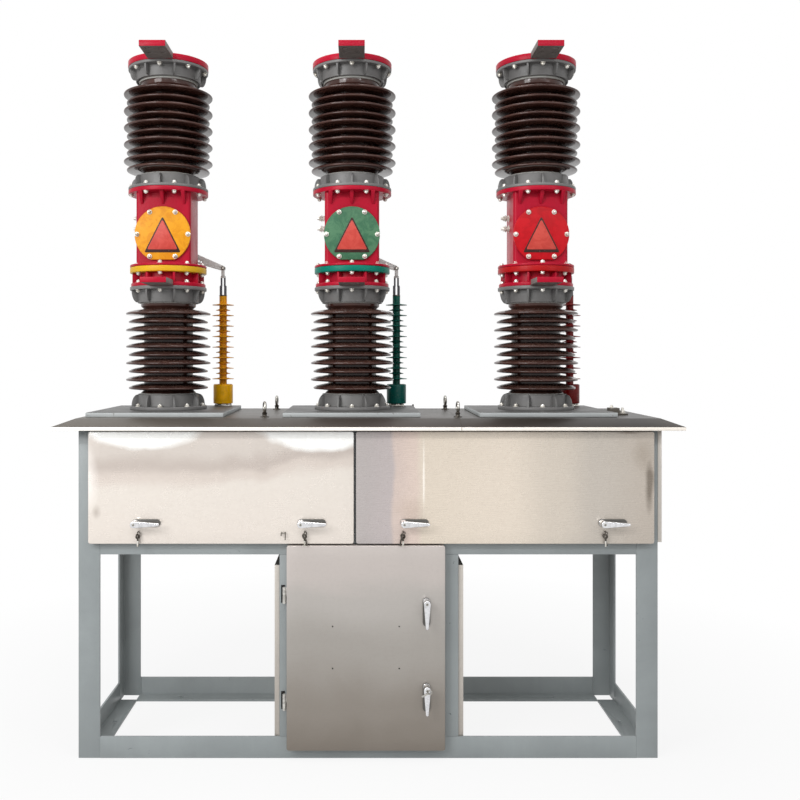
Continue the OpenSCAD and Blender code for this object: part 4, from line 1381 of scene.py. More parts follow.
@dataclass
class LeverHandle:
    """A chromed lever with a round head, a lock in it, and keys where the real one has them."""

    packed: Packed
    node: str
    hanging: bool
    key_in_lock: bool = False
    head: float = 0.0120
    tip: float = 0.0052
    thickness: float = 0.0090
    sunk: float = 0.0078

    def build(self) -> None:
        """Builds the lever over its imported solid."""
        low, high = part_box(self.node)
        middle = (low + high) / 2
        if self.hanging:
            turn, reach = Euler((0, math.pi / 2, 0)), high.z - low.z
            pivot = Vector((middle.x, low.y, high.z - self.head))
        else:
            turn, reach = Euler(), high.x - low.x
            pivot = Vector((low.x + self.head, low.y, middle.z))
        length = reach - self.head - self.tip
        piece = Workpiece(f"{self.node}_chromed")
        outline = arc((0, 0), self.head, 95, 265, 14) + arc((length, 0), self.tip, -85, 85, 8)
        part = extruded(((x, 0, z) for x, z in outline), (0, self.thickness, 0))
        soften(part, 0.0032, 4, 60)
        piece.take(part, pivot, turn, CHROME)
        neck = [
            (0, 0), (0.0112, 0), (0.0112, 0.004), (0.0088, 0.008), (0.0088, 0.018), (0.0118, 0.026),
            (0.0118, 0.031), (0, 0.031)
        ]
        piece.turned(neck, pivot + Vector((0, high.y - low.y - self.sunk, 0)), CHROME, 40, Facing.FRONT.value)
        lock = [(0, 0), (0.0052, 0), (0.0052, 0.0006), (0.0044, 0.0010), (0, 0.0010)]
        piece.turned(lock, pivot + Vector((0, 0.0008, 0)), ZINC, 24, Facing.FRONT.value)
        # The keyway is a thin dark block on the lock: painted shade in place of the slot.
        piece.block((0.0012, 0.0008, 0.0056), pivot + Vector((0, 0.0002, 0)), GASKET, 0.0)
        piece.rod(
            0.0058, self.sunk + 0.002, pivot + Vector((0, high.y - low.y, 0)), ZINC, Facing.FRONT.value,
            sides=24
        )
        if self.key_in_lock:
            self.key(piece, pivot + Vector((0.009, -0.0035, -0.004)), Euler((0, math.radians(62), 0)))
        piece.done(self.node, "chrome", [self.node])

    def key(self, piece: Workpiece, at: Vector, turn: Euler) -> None:
        """Adds a flat key with a pierced bow.

        Args:
            piece: The piece that gets the key.
            at: Middle of its bow.
            turn: How it is turned from hanging upright.
        """
        flat = Facing.FRONT.value
        bow_turn = (turn.to_matrix() @ flat.to_matrix()).to_euler()
        piece.ring(0.0062, 0.0018, at, ZINC, bow_turn, 24, 8)
        down = turn.to_matrix() @ Vector((0, 0, -1))
        piece.block((0.0060, 0.0018, 0.026), at + down * 0.019, ZINC, 0.0004, turn)


# How far each bunch hangs to the right of its lever's pivot, and the lean of its second key in degrees.
KEY_PLACES = ((0.009, -8.0), (0.012, -20.0), (-0.004, 16.0), (0.009, -14.0))


@dataclass
class HangingKeys:
    """A bunch of flat keys on two wire rings under a panel lever."""

    packed: Packed
    lever: str
    body: str
    panel_front: float
    aside: float = 0.008
    spread: float = 5.0
    drop: float = 0.030
    stand: float = 0.012

    def build(self) -> None:
        """Builds the hook, its rings and two keys, one of them turned away."""
        low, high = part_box(self.lever)
        x = low.x + FoldedPanel.hub + self.aside
        hook = Vector((x, self.panel_front - self.stand, (low.z + high.z) / 2 - self.drop))
        piece = Workpiece(f"{self.lever}_keys")
        foot = hook + Vector((0, self.stand, 0))
        piece.rod(0.0022, 0.016, foot, DARK_STEEL, Facing.FRONT.value, sides=16, edge=0.0004)
        piece.ring(
            0.0048, 0.0012, hook + Vector((0.003, 0, -0.004)), DARK_STEEL, Euler((math.pi / 2, 0, 0.5)), 24, 8
        )
        near = hook + Vector((0.0005, -0.002, -0.0155))
        self.key(piece, near, DARK_STEEL, NUT_ZINC, 0.35, 2.0)
        self.key(piece, near + Vector((-0.003, 0.005, 0.001)), DARK_STEEL, DARK_STEEL, -0.7, self.spread)
        piece.done(self.body, "chrome")

    def key(
        self, piece: Workpiece, bow: Vector, head: Finish, blade: Finish, turn: float, lean: float
    ) -> None:
        """Adds one hanging key.

        Args:
            piece: The bunch.
            bow: Middle of its bow.
            head: Finish of the bow.
            blade: Finish of the blade.
            turn: Turn about its length, in radians.
            lean: Lean to the right at its foot, in degrees.
        """
        piece.ring(0.0066, 0.0020, bow, head, Euler((math.pi / 2, 0, turn)), 28, 8)
        tilt = Euler((0, math.radians(lean), turn))
        down = Euler((0, math.radians(lean), 0)).to_matrix() @ Vector((0, 0, -1))
        piece.block((0.0062, 0.0020, 0.009), bow + down * 0.0105, head, 0.0004, tilt)
        piece.block((0.0052, 0.0018, 0.020), bow + down * 0.0245, blade, 0.0004, tilt)


# ---------------------------------------------------------------- boxes and cabinet


@dataclass
class Enclosures:
    """Fixed sheets of the mechanism box and of the control cabinet, with their hinge halves."""

    packed: Packed
    edge: float = 0.0012
    rivet: float = 0.0034
    rivet_count: int = 15
    rivet_margin: Point = (0.03, 0.018)

    def build(self) -> None:
        """Dresses the fixed sheets, then adds the rear rivets and the seals around the hinges."""
        self.packed.eased("side_panels", BODY_SHEET, self.edge)
        self.packed.eased("rear_panels", REAR_SHEET, 0.0016)
        self.packed.eased("box_floor", BODY_SHEET, 0.0008)
        self.packed.eased("drive_duct", BODY_SHEET, 0.0010)
        top = self.packed.high("cabinet_body").z

        def roof(face: bmesh.types.BMFace) -> Optional[Finish]:
            """Picks out the top of the cabinet, which takes a near-black sheet as painted shade."""
            return CABINET_TOP_SHADE if face.normal.z > 0.7 and face.calc_center_median().z > top - 0.002 else None

        self.packed.eased("cabinet_body", BODY_SHEET, self.edge, also=roof)
        self.packed.eased("fixed_hinges", HINGE_ZINC, 0.0006)
        self.rear_rivets()
        self.hinge_outlines()

    def rear_rivets(self) -> None:
        """Rivets the rear panels along their top and bottom edges."""
        low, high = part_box("rear_panels")
        piece = Workpiece("rear_panel_rivets")
        dome = [(0, 0), (self.rivet, 0), (self.rivet * 0.9, 0.0009), (self.rivet * 0.5, 0.0017), (0, 0.002)]
        side, rim = self.rivet_margin
        for z in (low.z + rim, high.z - rim):
            for i in range(self.rivet_count):
                x = low.x + side + (high.x - low.x - 2 * side) * i / (self.rivet_count - 1)
                piece.turned(dome, Vector((x, high.y, z)), NUT_ZINC, 14, Facing.REAR.value)
        piece.done("frame", "zinc")

    def hinge_outlines(self) -> None:
        """Lays the dark seal that shows around each cabinet hinge."""
        piece = Workpiece("cabinet_hinge_seats")
        door = self.packed.low("cabinet_door")
        posts = self.packed.low("cabinet_posts").y
        for z in CabinetDoor.hinge_heights:
            piece.block((0.013, 0.0016, 0.062), Vector((door.x - 0.0005, posts - 0.0008, z)), GASKET, 0.0003)
        piece.done("frame", "zinc")


@dataclass
class PanelStaple:
    """Small wire staple on the left panel, left of the joint of the panels."""

    packed: Packed
    place: tuple[float, float] = (-0.293, 0.792)
    span: float = 0.014
    wire: float = 0.0016
    stand: float = 0.010
    legs: tuple[float, float] = (0.010, 0.024)

    def build(self) -> None:
        """Bends the staple and its two hanging legs out of stretches of wire."""
        front = self.packed.low("left_flap").y + FoldedPanel.base_height
        x, z = self.place
        piece = Workpiece("left_flap_staple")
        for side, leg in zip((-1, 1), self.legs):
            at = Vector((x + side * self.span / 2, front + 0.001, z))
            piece.rod(self.wire, self.stand + 0.001, at, DARK_STEEL, Facing.FRONT.value, sides=12)
            piece.rod(
                self.wire, leg, at + Vector((0, -self.stand - 0.001, -leg)), DARK_STEEL, sides=12, edge=0.0005
            )
        middle = Vector((x - self.span / 2 - self.wire, front - self.stand, z))
        piece.rod(
            self.wire, self.span + 2 * self.wire, middle, DARK_STEEL, Facing.RIGHT.value, sides=12,
            edge=0.0005
        )
        piece.done("left_flap", "zinc")


# ---------------------------------------------------------------- poles


@dataclass(frozen=True)
class CastForm:
    """Sizes of a flanged casting and of its tapered ribs."""

    flange: float
    thickness: float
    neck: float
    rib_end: float


@dataclass(frozen=True)
class ShedForm:
    """Plain ends and shed radii of a porcelain insulator, and the size of its cement rings."""

    foot: float
    head: float
    large: float
    small: float
    seal: Point


@dataclass
class PoleColumn:
    """One pole: castings, two porcelain insulators, the red housing and its terminals."""

    packed: Packed
    phase: Phase
    low_form: CastForm = CastForm(0.143, 0.013, 0.114, 0.002)
    high_form: CastForm = CastForm(0.149, 0.011, 0.121, 0.007)
    low_sheds: ShedForm = ShedForm(0.016, 0.016, 0.158, 0.148, (0.1045, 0.003))
    high_sheds: ShedForm = ShedForm(0.018, 0.025, 0.166, 0.155, (0.109, 0.006))
    low_bolts: float = 0.1295
    high_bolts: float = 0.1375
    head_plate: float = 0.016
    foot_plate: float = 0.014
    mid_plate: float = 0.009
    rib: float = 0.0090
    rib_taper: float = 0.55
    rib_inset: float = 0.005
    rib_drop: float = 0.002
    collar: float = 0.103
    core: float = 0.092
    pairs: int = 5
    rise: float = 0.018
    fall: float = 0.0085
    tip: float = 0.0042
    first_shed: float = 0.22
    skirt: float = 0.108
    skirt_rib: float = 0.135
    foot_flange: float = 0.139
    box_width: float = 0.203
    box_round: float = 0.014
    box_rear: float = 0.068
    gusset_side: float = 0.078
    boss: float = 0.098
    ring_bore: float = 0.105
    ring_round: float = 0.0035
    nut: float = 0.0080
    cover_bolts: float = 0.0945
    rim_side: float = 0.134
    face_side: float = 0.112
    plate_corner: float = 0.004
    stud_heights: tuple[float, float] = (1.926, 1.8865)
    pad_root: float = -0.1485
    pad_edge: float = -0.262
    twist: float = 0.0

    def node(self, part: str) -> str:
        """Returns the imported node's name for a part of this pole."""
        return f"{self.phase.value}_{part}"

    def axis(self, z: float) -> Vector:
        """Returns the point of the pole's axis at a height."""
        return Vector((self.packed.middle(self.node("phase_ring")).x, 0, z))

    def build(self) -> None:
        """Builds the pole from the bottom up."""
        base = self.packed.low(self.node("castings")).z
        low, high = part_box(self.node("lower_insulator"))
        foot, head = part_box(self.node("housing"))
        seat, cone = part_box(self.node("upper_insulator"))
        cap = self.packed.low(self.node("terminal_cap")).z
        piece = Workpiece(self.node("castings_ribbed"))
        self.casting(piece, base, low.z, self.low_form, 22.5)
        self.casting(piece, foot.z, high.z, self.low_form, 22.5)
        self.casting(piece, head.z, seat.z, self.high_form, 0.0)
        self.casting(piece, cap, cone.z, self.high_form, 22.5)
        piece.done("frame", "cast_grey", [self.node("castings")])
        self.seals(((low.z, high.z, self.low_sheds.seal), (seat.z, cone.z, self.high_sheds.seal)))
        self.porcelain(self.node("lower_insulator"), self.low_sheds)
        self.porcelain(self.node("upper_insulator"), self.high_sheds)
        self.housing()
        self.ring()
        self.cover()
        self.terminals()
        self.fasteners(base, foot.z, head.z, cap)

    def casting(self, piece: Workpiece, root: float, end: float, form: CastForm, first: float) -> None:
        """Casts one flanged cup with tapered ribs and a sunk rim around the porcelain.

        Args:
            piece: The piece that gets it.
            root: Height of the flange's outer face.
            end: Height of the end that holds the porcelain.
            form: Sizes of the casting.
            first: Angle of the first rib from the front, in degrees.
        """
        tall = abs(end - root)
        t, neck = form.thickness, form.neck
        outline = flange(form.flange, t) + arc((neck + 0.005, t + 0.005), 0.005, -90, -180, 4)
        outline += arc((neck - 0.002, tall - 0.002), 0.002, 0, 90, 3)
        outline += [(neck - 0.0040, tall), (neck - 0.0050, tall - 0.004), (0, tall - 0.004)]
        casting = Workpiece("casting")
        casting.turned(outline, Vector(), CAST_PAINT, 120)
        lift = tall - t - self.rib_drop
        inner, top = neck - 0.004, neck + form.rib_end
        reach = form.flange - self.rib_inset - top
        corners = [(inner, t - 0.002), (top + reach, t - 0.002)]
        corners += [
            (top + reach * x, t + lift * y) for x, y in arc((0, 0), 1.0, 3, 90, 9)
        ] + [(inner, t + lift)]

        def add(target: Workpiece, at: Vector, angle: float) -> None:
            """Adds one rib."""
            rib = Workpiece("rib")
            rib.slab(
                corners, self.rib, Vector((0, self.rib / 2, 0)), CAST_PAINT, Euler((math.pi / 2, 0, 0)),
                0.0014
            )
            for vert in rib.bm.verts:
                vert.co.y *= 1 - self.rib_taper * max(0.0, vert.co.z - t) / lift
            target.take(rib.bm, at, Euler((0, 0, angle)), CAST_PAINT)

        way = 1 if end > root else -1
        casting.round_row(8, first + self.twist * way, 0.0, Vector(), add)
        piece.take(casting.bm, self.axis(root), Facing.UP.value if way > 0 else Facing.DOWN.value, CAST_PAINT)

    def seals(self, ends: Sequence[tuple[float, float, Point]]) -> None:
        """Lays the light cement rings around the ends of the porcelain.

        Args:
            ends: Lower end, upper end, and radius and height of the rings of each insulator.
        """
        piece = Workpiece(self.node("sealing_rings"))
        for low, high, (radius, tall) in ends:
            outline = [
                (self.core, -0.003), (radius, -0.003), (radius, tall - 0.0015), (radius - 0.0015, tall),
                (self.core, tall + 0.001)
            ]
            piece.turned(outline, self.axis(low), SEAL_GREY, 120, Facing.UP.value)
            piece.turned(outline, self.axis(high), SEAL_GREY, 120, Facing.DOWN.value)
        piece.done("frame", "cast_grey")

    def porcelain(self, node: str, form: ShedForm) -> None:
        """Turns one insulator with its leaf-shaped sheds.

        Args:
            node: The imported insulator.
            form: Its plain ends and shed radii.
        """
        low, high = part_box(node)
        tall = high.z - low.z
        pitch = (tall - form.foot - form.head) / (2 * self.pairs)
        outline = [(0, 0), (self.collar, 0)] + arc(
            (self.collar - 0.004, form.foot / 4 - 0.001), 0.004, 0, 60, 4
        )
        for i in range(2 * self.pairs):
            radius = form.small if i % 2 == 0 else form.large
            outline += self.shed_outline(radius, form.foot + (i + self.first_shed) * pitch)
        start = tall - form.head
        outline += [(self.core + 0.002, start - 0.004)] + arc(
            (self.collar - 0.006, start + 0.006), 0.006, -50, 0, 4
        )
        outline += [(self.collar, tall), (0, tall)]
        piece = Workpiece(f"{node}_glazed")
        piece.turned(outline, self.axis(low.z), GLAZE, 144)
        piece.done("frame", "porcelain_brown", [node], 50)

    def shed_outline(self, radius: float, z: float) -> list[Point]:
        """Outline of one shed.

        Args:
            radius: Radius at its tip.
            z: Height of its tip.

        Returns:
            Points from its root below, around the tip, to its root above.
        """
        steps = 8
        reach = radius - self.tip - self.core
        under = [
            (self.core + reach * i / steps, z - self.tip - (self.fall - self.tip) * (1 - i / steps) ** 0.62)
            for i in range(steps)
        ]
        over = [
            (self.core + reach * i / steps, z + self.tip + (self.rise - self.tip) * (1 - i / steps) ** 0.62)
            for i in reversed(range(steps))
        ]
        return under + arc((radius - self.tip, z), self.tip, -90, 90, 8) + over

    def housing(self) -> None:
        """Builds the red housing between the two porcelain insulators."""
        low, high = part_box(self.node("housing"))
        ring_low, ring_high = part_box(self.node("phase_ring"))
        piece = Workpiece(self.node("housing_cast"))
        foot = self.foot_plate
        tall = ring_low.z - low.z - foot
        plate = flange(self.foot_flange, foot) + arc((self.skirt + 0.004, foot + 0.004), 0.004, -90, -180, 4)
        plate += [(self.skirt, foot + tall), (0, foot + tall)]
        piece.turned(plate, self.axis(low.z), HOUSING_RED, 120)

        def rib(target: Workpiece, at: Vector, angle: float) -> None:
            """Adds one rib of the skirt."""
            depth = self.skirt_rib - self.skirt + 0.004
            out = Vector((math.cos(angle), math.sin(angle), 0))
            middle = at + out * (self.skirt_rib - depth / 2)
            target.block((depth, 0.009, tall + 0.001), middle, HOUSING_RED, 0.002, Euler((0, 0, angle)))

        piece.round_row(8, 22.5 + self.twist, 0.0, self.axis(low.z + foot + tall / 2), rib)
        middle, wide, head_wide = self.mid_plate, self.low_form.flange, self.high_form.flange
        piece.turned(flange(wide, middle, 0.09) + [(0, middle)], self.axis(ring_high.z), HOUSING_RED, 120)
        t = self.head_plate
        self.housing_box(piece, ring_high.z + middle, high.z - t)
        piece.turned(flange(head_wide, t) + [(0, t)], self.axis(high.z - t), HOUSING_RED, 120)
        piece.done("frame", "housing_red", [self.node("housing")])

    def housing_box(self, piece: Workpiece, foot: float, head: float) -> None:
        """Builds the box part of the housing with its gussets.

        Args:
            piece: The housing.
            foot: Height of its foot.
            head: Height of its top.
        """
        x = self.axis(0).x
        front, rear = self.packed.high(self.node("front_cover")).y, self.box_rear
        box = cuboid((self.box_width, rear - front, head - foot + 0.004))
        bevel(box, edges_along(box, 2), self.box_round, 7)
        piece.take(box, Vector((x, (front + rear) / 2, (foot + head) / 2)), Euler(), HOUSING_RED)
        for side in (-1, 0, 1):
            self.gusset(piece, Vector((x + side * self.gusset_side, front, head)))
        boss = [(0, 0), (self.boss, 0), (self.boss, 0.0006), (0, 0.0006)]
        at = Vector((x, front, self.cover_height()))
        piece.turned(boss, at, HOUSING_RED, 96, Facing.FRONT.value)

    def gusset(self, piece: Workpiece, corner: Vector) -> None:
        """Adds a tapered rib under the overhang of the top flange.

        Args:
            piece: The housing.
            corner: Where it meets the box and the flange.
        """
        part = cuboid((0.016, 0.038, 0.046), (0, -0.015, -0.023))
        foot = [v for v in part.verts if v.co.z < -0.04]
        bmesh.ops.scale(part, vec=(0.55, 1, 1), verts=foot)
        for vert in foot:
            if vert.co.y < -0.02:
                vert.co.y = -0.002
        soften(part, 0.0022, 3)
        piece.take(part, corner, Euler(), HOUSING_RED)

    def cover_height(self) -> float:
        """Returns the height of the cover's middle."""
        low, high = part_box(self.node("front_cover"))
        return high.z - (high.x - low.x) / 2

    def ring(self) -> None:
        """Turns the painted ring that tells the phase."""
        low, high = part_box(self.node("phase_ring"))
        tall = high.z - low.z
        radius = (high.x - low.x) / 2
        bore, rim = self.ring_bore, self.ring_round
        outline = [(bore, 0.0005)] + arc((radius - rim, 0.004), rim, -90, 0, 4)
        outline += arc((radius - rim, tall - 0.004), rim, 0, 90, 4)
        outline += [(bore, tall - 0.0005), (bore, 0.0005)]
        piece = Workpiece(self.node("phase_ring_painted"))
        piece.turned(outline, self.axis(low.z), RINGS[self.phase], 128)
        piece.done("frame", f"phase_{COLOUR_NAMES[self.phase]}", [self.node("phase_ring")])

    def cover(self) -> None:
        """Builds the round cover with its flat foot, domed nuts and blank plate."""
        low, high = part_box(self.node("front_cover"))
        radius = (high.x - low.x) / 2
        middle = Vector((self.axis(0).x, high.y, self.cover_height()))
        piece = Workpiece(self.node("front_cover_painted"))
        for size, depth, back, finish, edge in (
            (radius - 0.0015, 0.0016, 0.0, GASKET, 0.0),
            (radius, high.y - low.y - 0.0016, 0.0016, COVERS[self.phase], 0.0022),
        ):
            disc = bmesh.new()
            bmesh.ops.create_cone(disc, cap_ends=True, segments=128, radius1=size, radius2=size, depth=depth)
            bmesh.ops.translate(disc, vec=(0, 0, depth / 2 + back), verts=disc.verts)
            geometry = disc.verts[:] + disc.edges[:] + disc.faces[:]
            flat = middle.z - low.z - (radius - size)
            cut = bmesh.ops.bisect_plane(
                disc, geom=geometry, plane_co=(0, -flat, 0), plane_no=(0, -1, 0), clear_outer=True
            )
            rim = [e for e in cut["geom_cut"] if isinstance(e, bmesh.types.BMEdge)]
            bmesh.ops.edgenet_fill(disc, edges=rim)
            bmesh.ops.recalc_face_normals(disc, faces=disc.faces)
            if edge:
                soften(disc, edge, 3, 50)
            piece.take(disc, middle, Facing.FRONT.value, finish)
        piece.done("frame", f"phase_{COLOUR_NAMES[self.phase]}", [self.node("front_cover")])
        front = Vector((middle.x, low.y, middle.z))
        self.blank_plate(front)
        self.cover_nuts(front)

    def blank_plate(self, at: Vector) -> None:
        """Adds the blank three-cornered plate with its dark rim.

        Args:
            at: Middle of the cover's front.
        """
        piece = Workpiece(self.node("blank_plate"))
        for side, thick, finish, edge in (
            (self.rim_side, 0.0012, SIGN_EDGE, 0.0004), (self.face_side, 0.0018, SIGN_FACE, 0.0005)
        ):
            foot = -side / 2 + self.plate_corner
            corners: list[Point] = []
            for x, z, start in (
                (side / 2 - 0.006, foot, -90), (0, side / 2 - 0.009, 27), (-side / 2 + 0.006, foot, 153)
            ):
                corners += arc((x, z), self.plate_corner, start, start + 117, 5)
            piece.slab(corners, thick, at + Vector((0, 0.0002, 0)), finish, Facing.FRONT.value, edge)
        piece.done("frame", "housing_red")

    def cover_nuts(self, at: Vector) -> None:
        """Adds the six domed nuts of the cover.

        Args:
            at: Middle of the cover's front.
        """
        piece = Workpiece(self.node("cover_nuts"))
        for i in range(6):
            angle = math.radians(60 * i)
            place = at + Vector((math.cos(angle) * self.cover_bolts, 0, math.sin(angle) * self.cover_bolts))
            piece.rod(0.0090, 0.0018, place, NUT_ZINC, Facing.FRONT.value, sides=24, edge=0.0004)
            piece.rod(
                0.0073, 0.0050, place + Vector((0, -0.0018, 0)), NUT_ZINC, Facing.FRONT.value, sides=6,
                edge=0.0006
            )
            dome = [(0, 0), (0.0062, 0)] + arc((0, 0.0005), 0.0060, 8, 82, 5) + [(0, 0.0065)]
            piece.turned(dome, place + Vector((0, -0.0066, 0)), NUT_ZINC, 24, Facing.FRONT.value)
        piece.done("frame", "zinc")

    def terminals(self) -> None:
        """Dresses both terminal pads; their undersides and sides are bare metal."""

        def bare(face: bmesh.types.BMFace) -> Optional[Finish]:
            """Picks out the faces of a pad that carry no paint."""
            middle, normal = face.calc_center_median(), face.normal
            if middle.y > self.pad_root:
                return None
            edge = abs(normal.z) < 0.5 and middle.y > self.pad_edge
            return BARE_CAST if normal.z < -0.5 or abs(normal.x) > 0.75 or edge else None

        for part in ("terminal_cap", "lower_terminal"):
            self.packed.eased(self.node(part), HOUSING_RED, 0.0018, also=bare, score=self.pad_root)

    def fasteners(self, base: float, foot: float, head: float, cap: float) -> None:
        """Screws the pole together.

        Args:
            base: Height of the base casting's foot.
            foot: Height of the housing's foot.
            head: Height of the housing's top.
            cap: Height of the cap's underside.
        """
        piece = Workpiece(self.node("fasteners"))
        ring_low, ring_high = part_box(self.node("phase_ring"))
        t, seat = self.low_form.thickness, self.high_form.thickness
        skirt = foot + self.foot_plate
        rows = (
            (base + t, Facing.UP, self.low_bolts, 0.0), (foot - t, Facing.DOWN, self.low_bolts, 0.0),
            (skirt, Facing.UP, self.low_bolts - 0.002, 0.0),
            (ring_low.z, Facing.DOWN, self.low_bolts - 0.002, 0.0),
            (ring_high.z + self.mid_plate, Facing.UP, self.low_bolts, 0.0),
            (head - self.head_plate, Facing.DOWN, self.high_bolts, 22.5),
            (head + seat, Facing.UP, self.high_bolts, 22.5), (cap - seat, Facing.DOWN, self.high_bolts, 0.0),
            (self.packed.high(self.node("terminal_cap")).z - 0.001, Facing.UP, self.high_bolts, 0.0),
        )
        top = rows[-1][0]
        for z, facing, circle, first in rows:
            for i in range(8):
                angle = math.radians(first - 90 + i * 45 + self.twist)
                at = self.axis(z) + Vector((math.cos(angle), math.sin(angle), 0)) * circle
                if z == skirt and i == 0:
                    at.z = self.packed.high(self.node("lower_terminal")).z
                stud = 0.0 if z == top else 0.3
                size = self.nut * (0.72 if z == top else 1.0)
                piece.nut(size, at, facing, NUT_ZINC, stud)
        for z in self.stud_heights:
            at = self.axis(z) + Vector((-self.box_width / 2, 0, 0))
            piece.rod(0.0055, 0.031, at, NUT_ZINC, Facing.LEFT.value, sides=18, edge=0.0006)
            piece.nut(0.0108, at, Facing.LEFT, NUT_ZINC, 0.0)
            piece.nut(0.0100, at + Vector((-0.013, 0, 0)), Facing.LEFT, NUT_ZINC, 0.0)
        piece.done("frame", "zinc")


COLOUR_NAMES = {Phase.LEFT: "yellow", Phase.MIDDLE: "green", Phase.RIGHT: "red"}


@dataclass
class SideInsulator:
    """The slim insulator beside a pole, with its fork and the link bar."""

    packed: Packed
    phase: Phase
    can: float = 0.039
    can_height: float = 0.078
    rod: float = 0.015
    shed: float = 0.043
    small: float = 0.029
    pairs: int = 8
    tip: float = 0.0012
    prong_gap: float = 0.0176
    thick_sleeve: float = 0.0053
    thin_sleeve: float = 0.0037
    sleeve_height: float = 0.037
    bar_end: float = 0.010
    foot_width: float = 0.062
    foot_bolts: float = 0.0252

    def build(self) -> None:
        """Builds the insulator; the first one also stands for the nodes that all three share."""
        low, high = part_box(f"{self.phase.value}_side_insulator")
        at = Vector(((low.x + high.x) / 2, (low.y + high.y) / 2, low.z))
        self.insulator(at, high.z - low.z)
        base = self.packed.low("insulator_bases").z
        self.base(Vector((at.x, at.y, base)), low.z - base)
        self.fork(Vector((at.x, at.y, high.z)))
        name = f"{self.phase.value}_link_bar"
        self.packed.eased(name, LINK_STEEL, 0.0012)

    def insulator(self, at: Vector, tall: float) -> None:
        """Turns the can and the shedded rod.

        Args:
            at: Middle of its foot.
            tall: Its height.
        """
        piece = Workpiece(f"{self.phase.value}_side_insulator_moulded")
        can = [(0, 0)] + arc((self.can - 0.003, 0.003), 0.003, -90, 0, 3)
        can += arc((self.can - 0.005, self.can_height - 0.005), 0.005, 0, 90, 4) + [(0, self.can_height)]
        piece.turned(can, at, CAN_RUBBER[self.phase], 56)
        rod_height = tall - self.can_height
        pitch = rod_height / (self.pairs + 0.35)
        outline: list[Point] = [(0, -0.002), (self.rod, -0.002)]
        for k in range(2 * self.pairs - 1):
            radius = self.shed if k % 2 == 0 else self.small
            z = (0.5 + k / 2) * pitch
            reach = radius - self.tip - self.rod
            outline += [(self.rod, z - 0.0032), (self.rod + reach * 0.3, z - 0.0019)]
            outline += arc((radius - self.tip, z), self.tip, -90, 90, 4)
            outline += [(self.rod + reach * 0.35, z + 0.0034), (self.rod, z + 0.0055)]
        outline += [(self.rod, rod_height), (0, rod_height)]
        piece.turned(outline, at + Vector((0, 0, self.can_height)), SIDE_RUBBER[self.phase], 64)
        colour = COLOUR_NAMES[self.phase]
        piece.done("frame", f"rubber_{colour}", [f"{self.phase.value}_side_insulator"], 50)

    def base(self, at: Vector, tall: float) -> None:
        """Builds the plated foot with its bolts.

        Args:
            at: Middle of its underside.
            tall: Its height.
        """
        piece = Workpiece(f"{self.phase.value}_side_insulator_base")
        piece.block((self.foot_width, self.foot_width, tall / 2), at + Vector((0, 0, tall / 4)), ZINC, 0.0008)
        step = at + Vector((0, 0, tall / 2))
        outline = [(0, 0), (0.028, 0), (0.028, tall / 2 - 0.001), (0.027, tall / 2), (0, tall / 2)]
        piece.turned(outline, step, ZINC, 48)
        for x in (-self.foot_bolts, self.foot_bolts):
            for y in (-self.foot_bolts, self.foot_bolts):
                piece.nut(0.0042, step + Vector((x, y, 0)), Facing.UP, NUT_ZINC, 0.0)
        nodes = ["insulator_bases"] if self.phase is Phase.LEFT else []
        piece.done("frame", "zinc", nodes)

    def fork(self, at: Vector) -> None:
        """Builds the sleeved fork and its pin.

        Args:
            at: Top of the insulator.
        """
        pin_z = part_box(f"{self.phase.value}_link_bar")[0].z + self.bar_end
        piece = Workpiece(f"{self.phase.value}_fork")
        piece.turned([(0, 0), (0.0155, 0), (0.0155, 0.003), (0.013, 0.0045), (0, 0.0045)], at, DARK_STEEL, 32)
        for side in (-1, 1):
            leg = at + Vector((side * self.prong_gap / 2, 0, 0.002))
            thick = [(0, 0), (self.thick_sleeve, 0), (self.thick_sleeve, self.sleeve_height)]
            thick += [(self.thin_sleeve, self.sleeve_height + 0.004), (0, self.sleeve_height + 0.004)]
            piece.turned(thick, leg, SLEEVE, 24)
            lean = Vector((-side * 0.0022, 0, 0))
            piece.rod(
                self.thin_sleeve, 0.041, leg + lean + Vector((0, 0, self.sleeve_height)), SLEEVE, sides=18
            )
        fork_z = at.z + 0.076
        piece.block((0.020, 0.008, 0.006), Vector((at.x, at.y, fork_z)), LINK_STEEL, 0.0014)
        piece.block((0.014, 0.0036, 0.032), Vector((at.x, at.y - 0.0052, fork_z + 0.018)), LINK_STEEL, 0.0014)
        piece.block((0.014, 0.0080, 0.0110), Vector((at.x, at.y, fork_z + 0.007)), LINK_STEEL, 0.0014)
        pin = Vector((at.x, at.y - 0.0110, pin_z))
        piece.rod(0.0080, 0.0075, pin, DARK_STEEL, Facing.REAR.value, sides=6, edge=0.0008)
        piece.rod(
            0.0046, 0.0190, pin - Vector((0, 0.0010, 0)), NUT_ZINC, Facing.REAR.value, sides=18, edge=0.0008
        )
        nodes = ["link_forks"] if self.phase is Phase.LEFT else []
        piece.done("frame", "sleeve_black", nodes)


# ---------------------------------------------------------------- studio


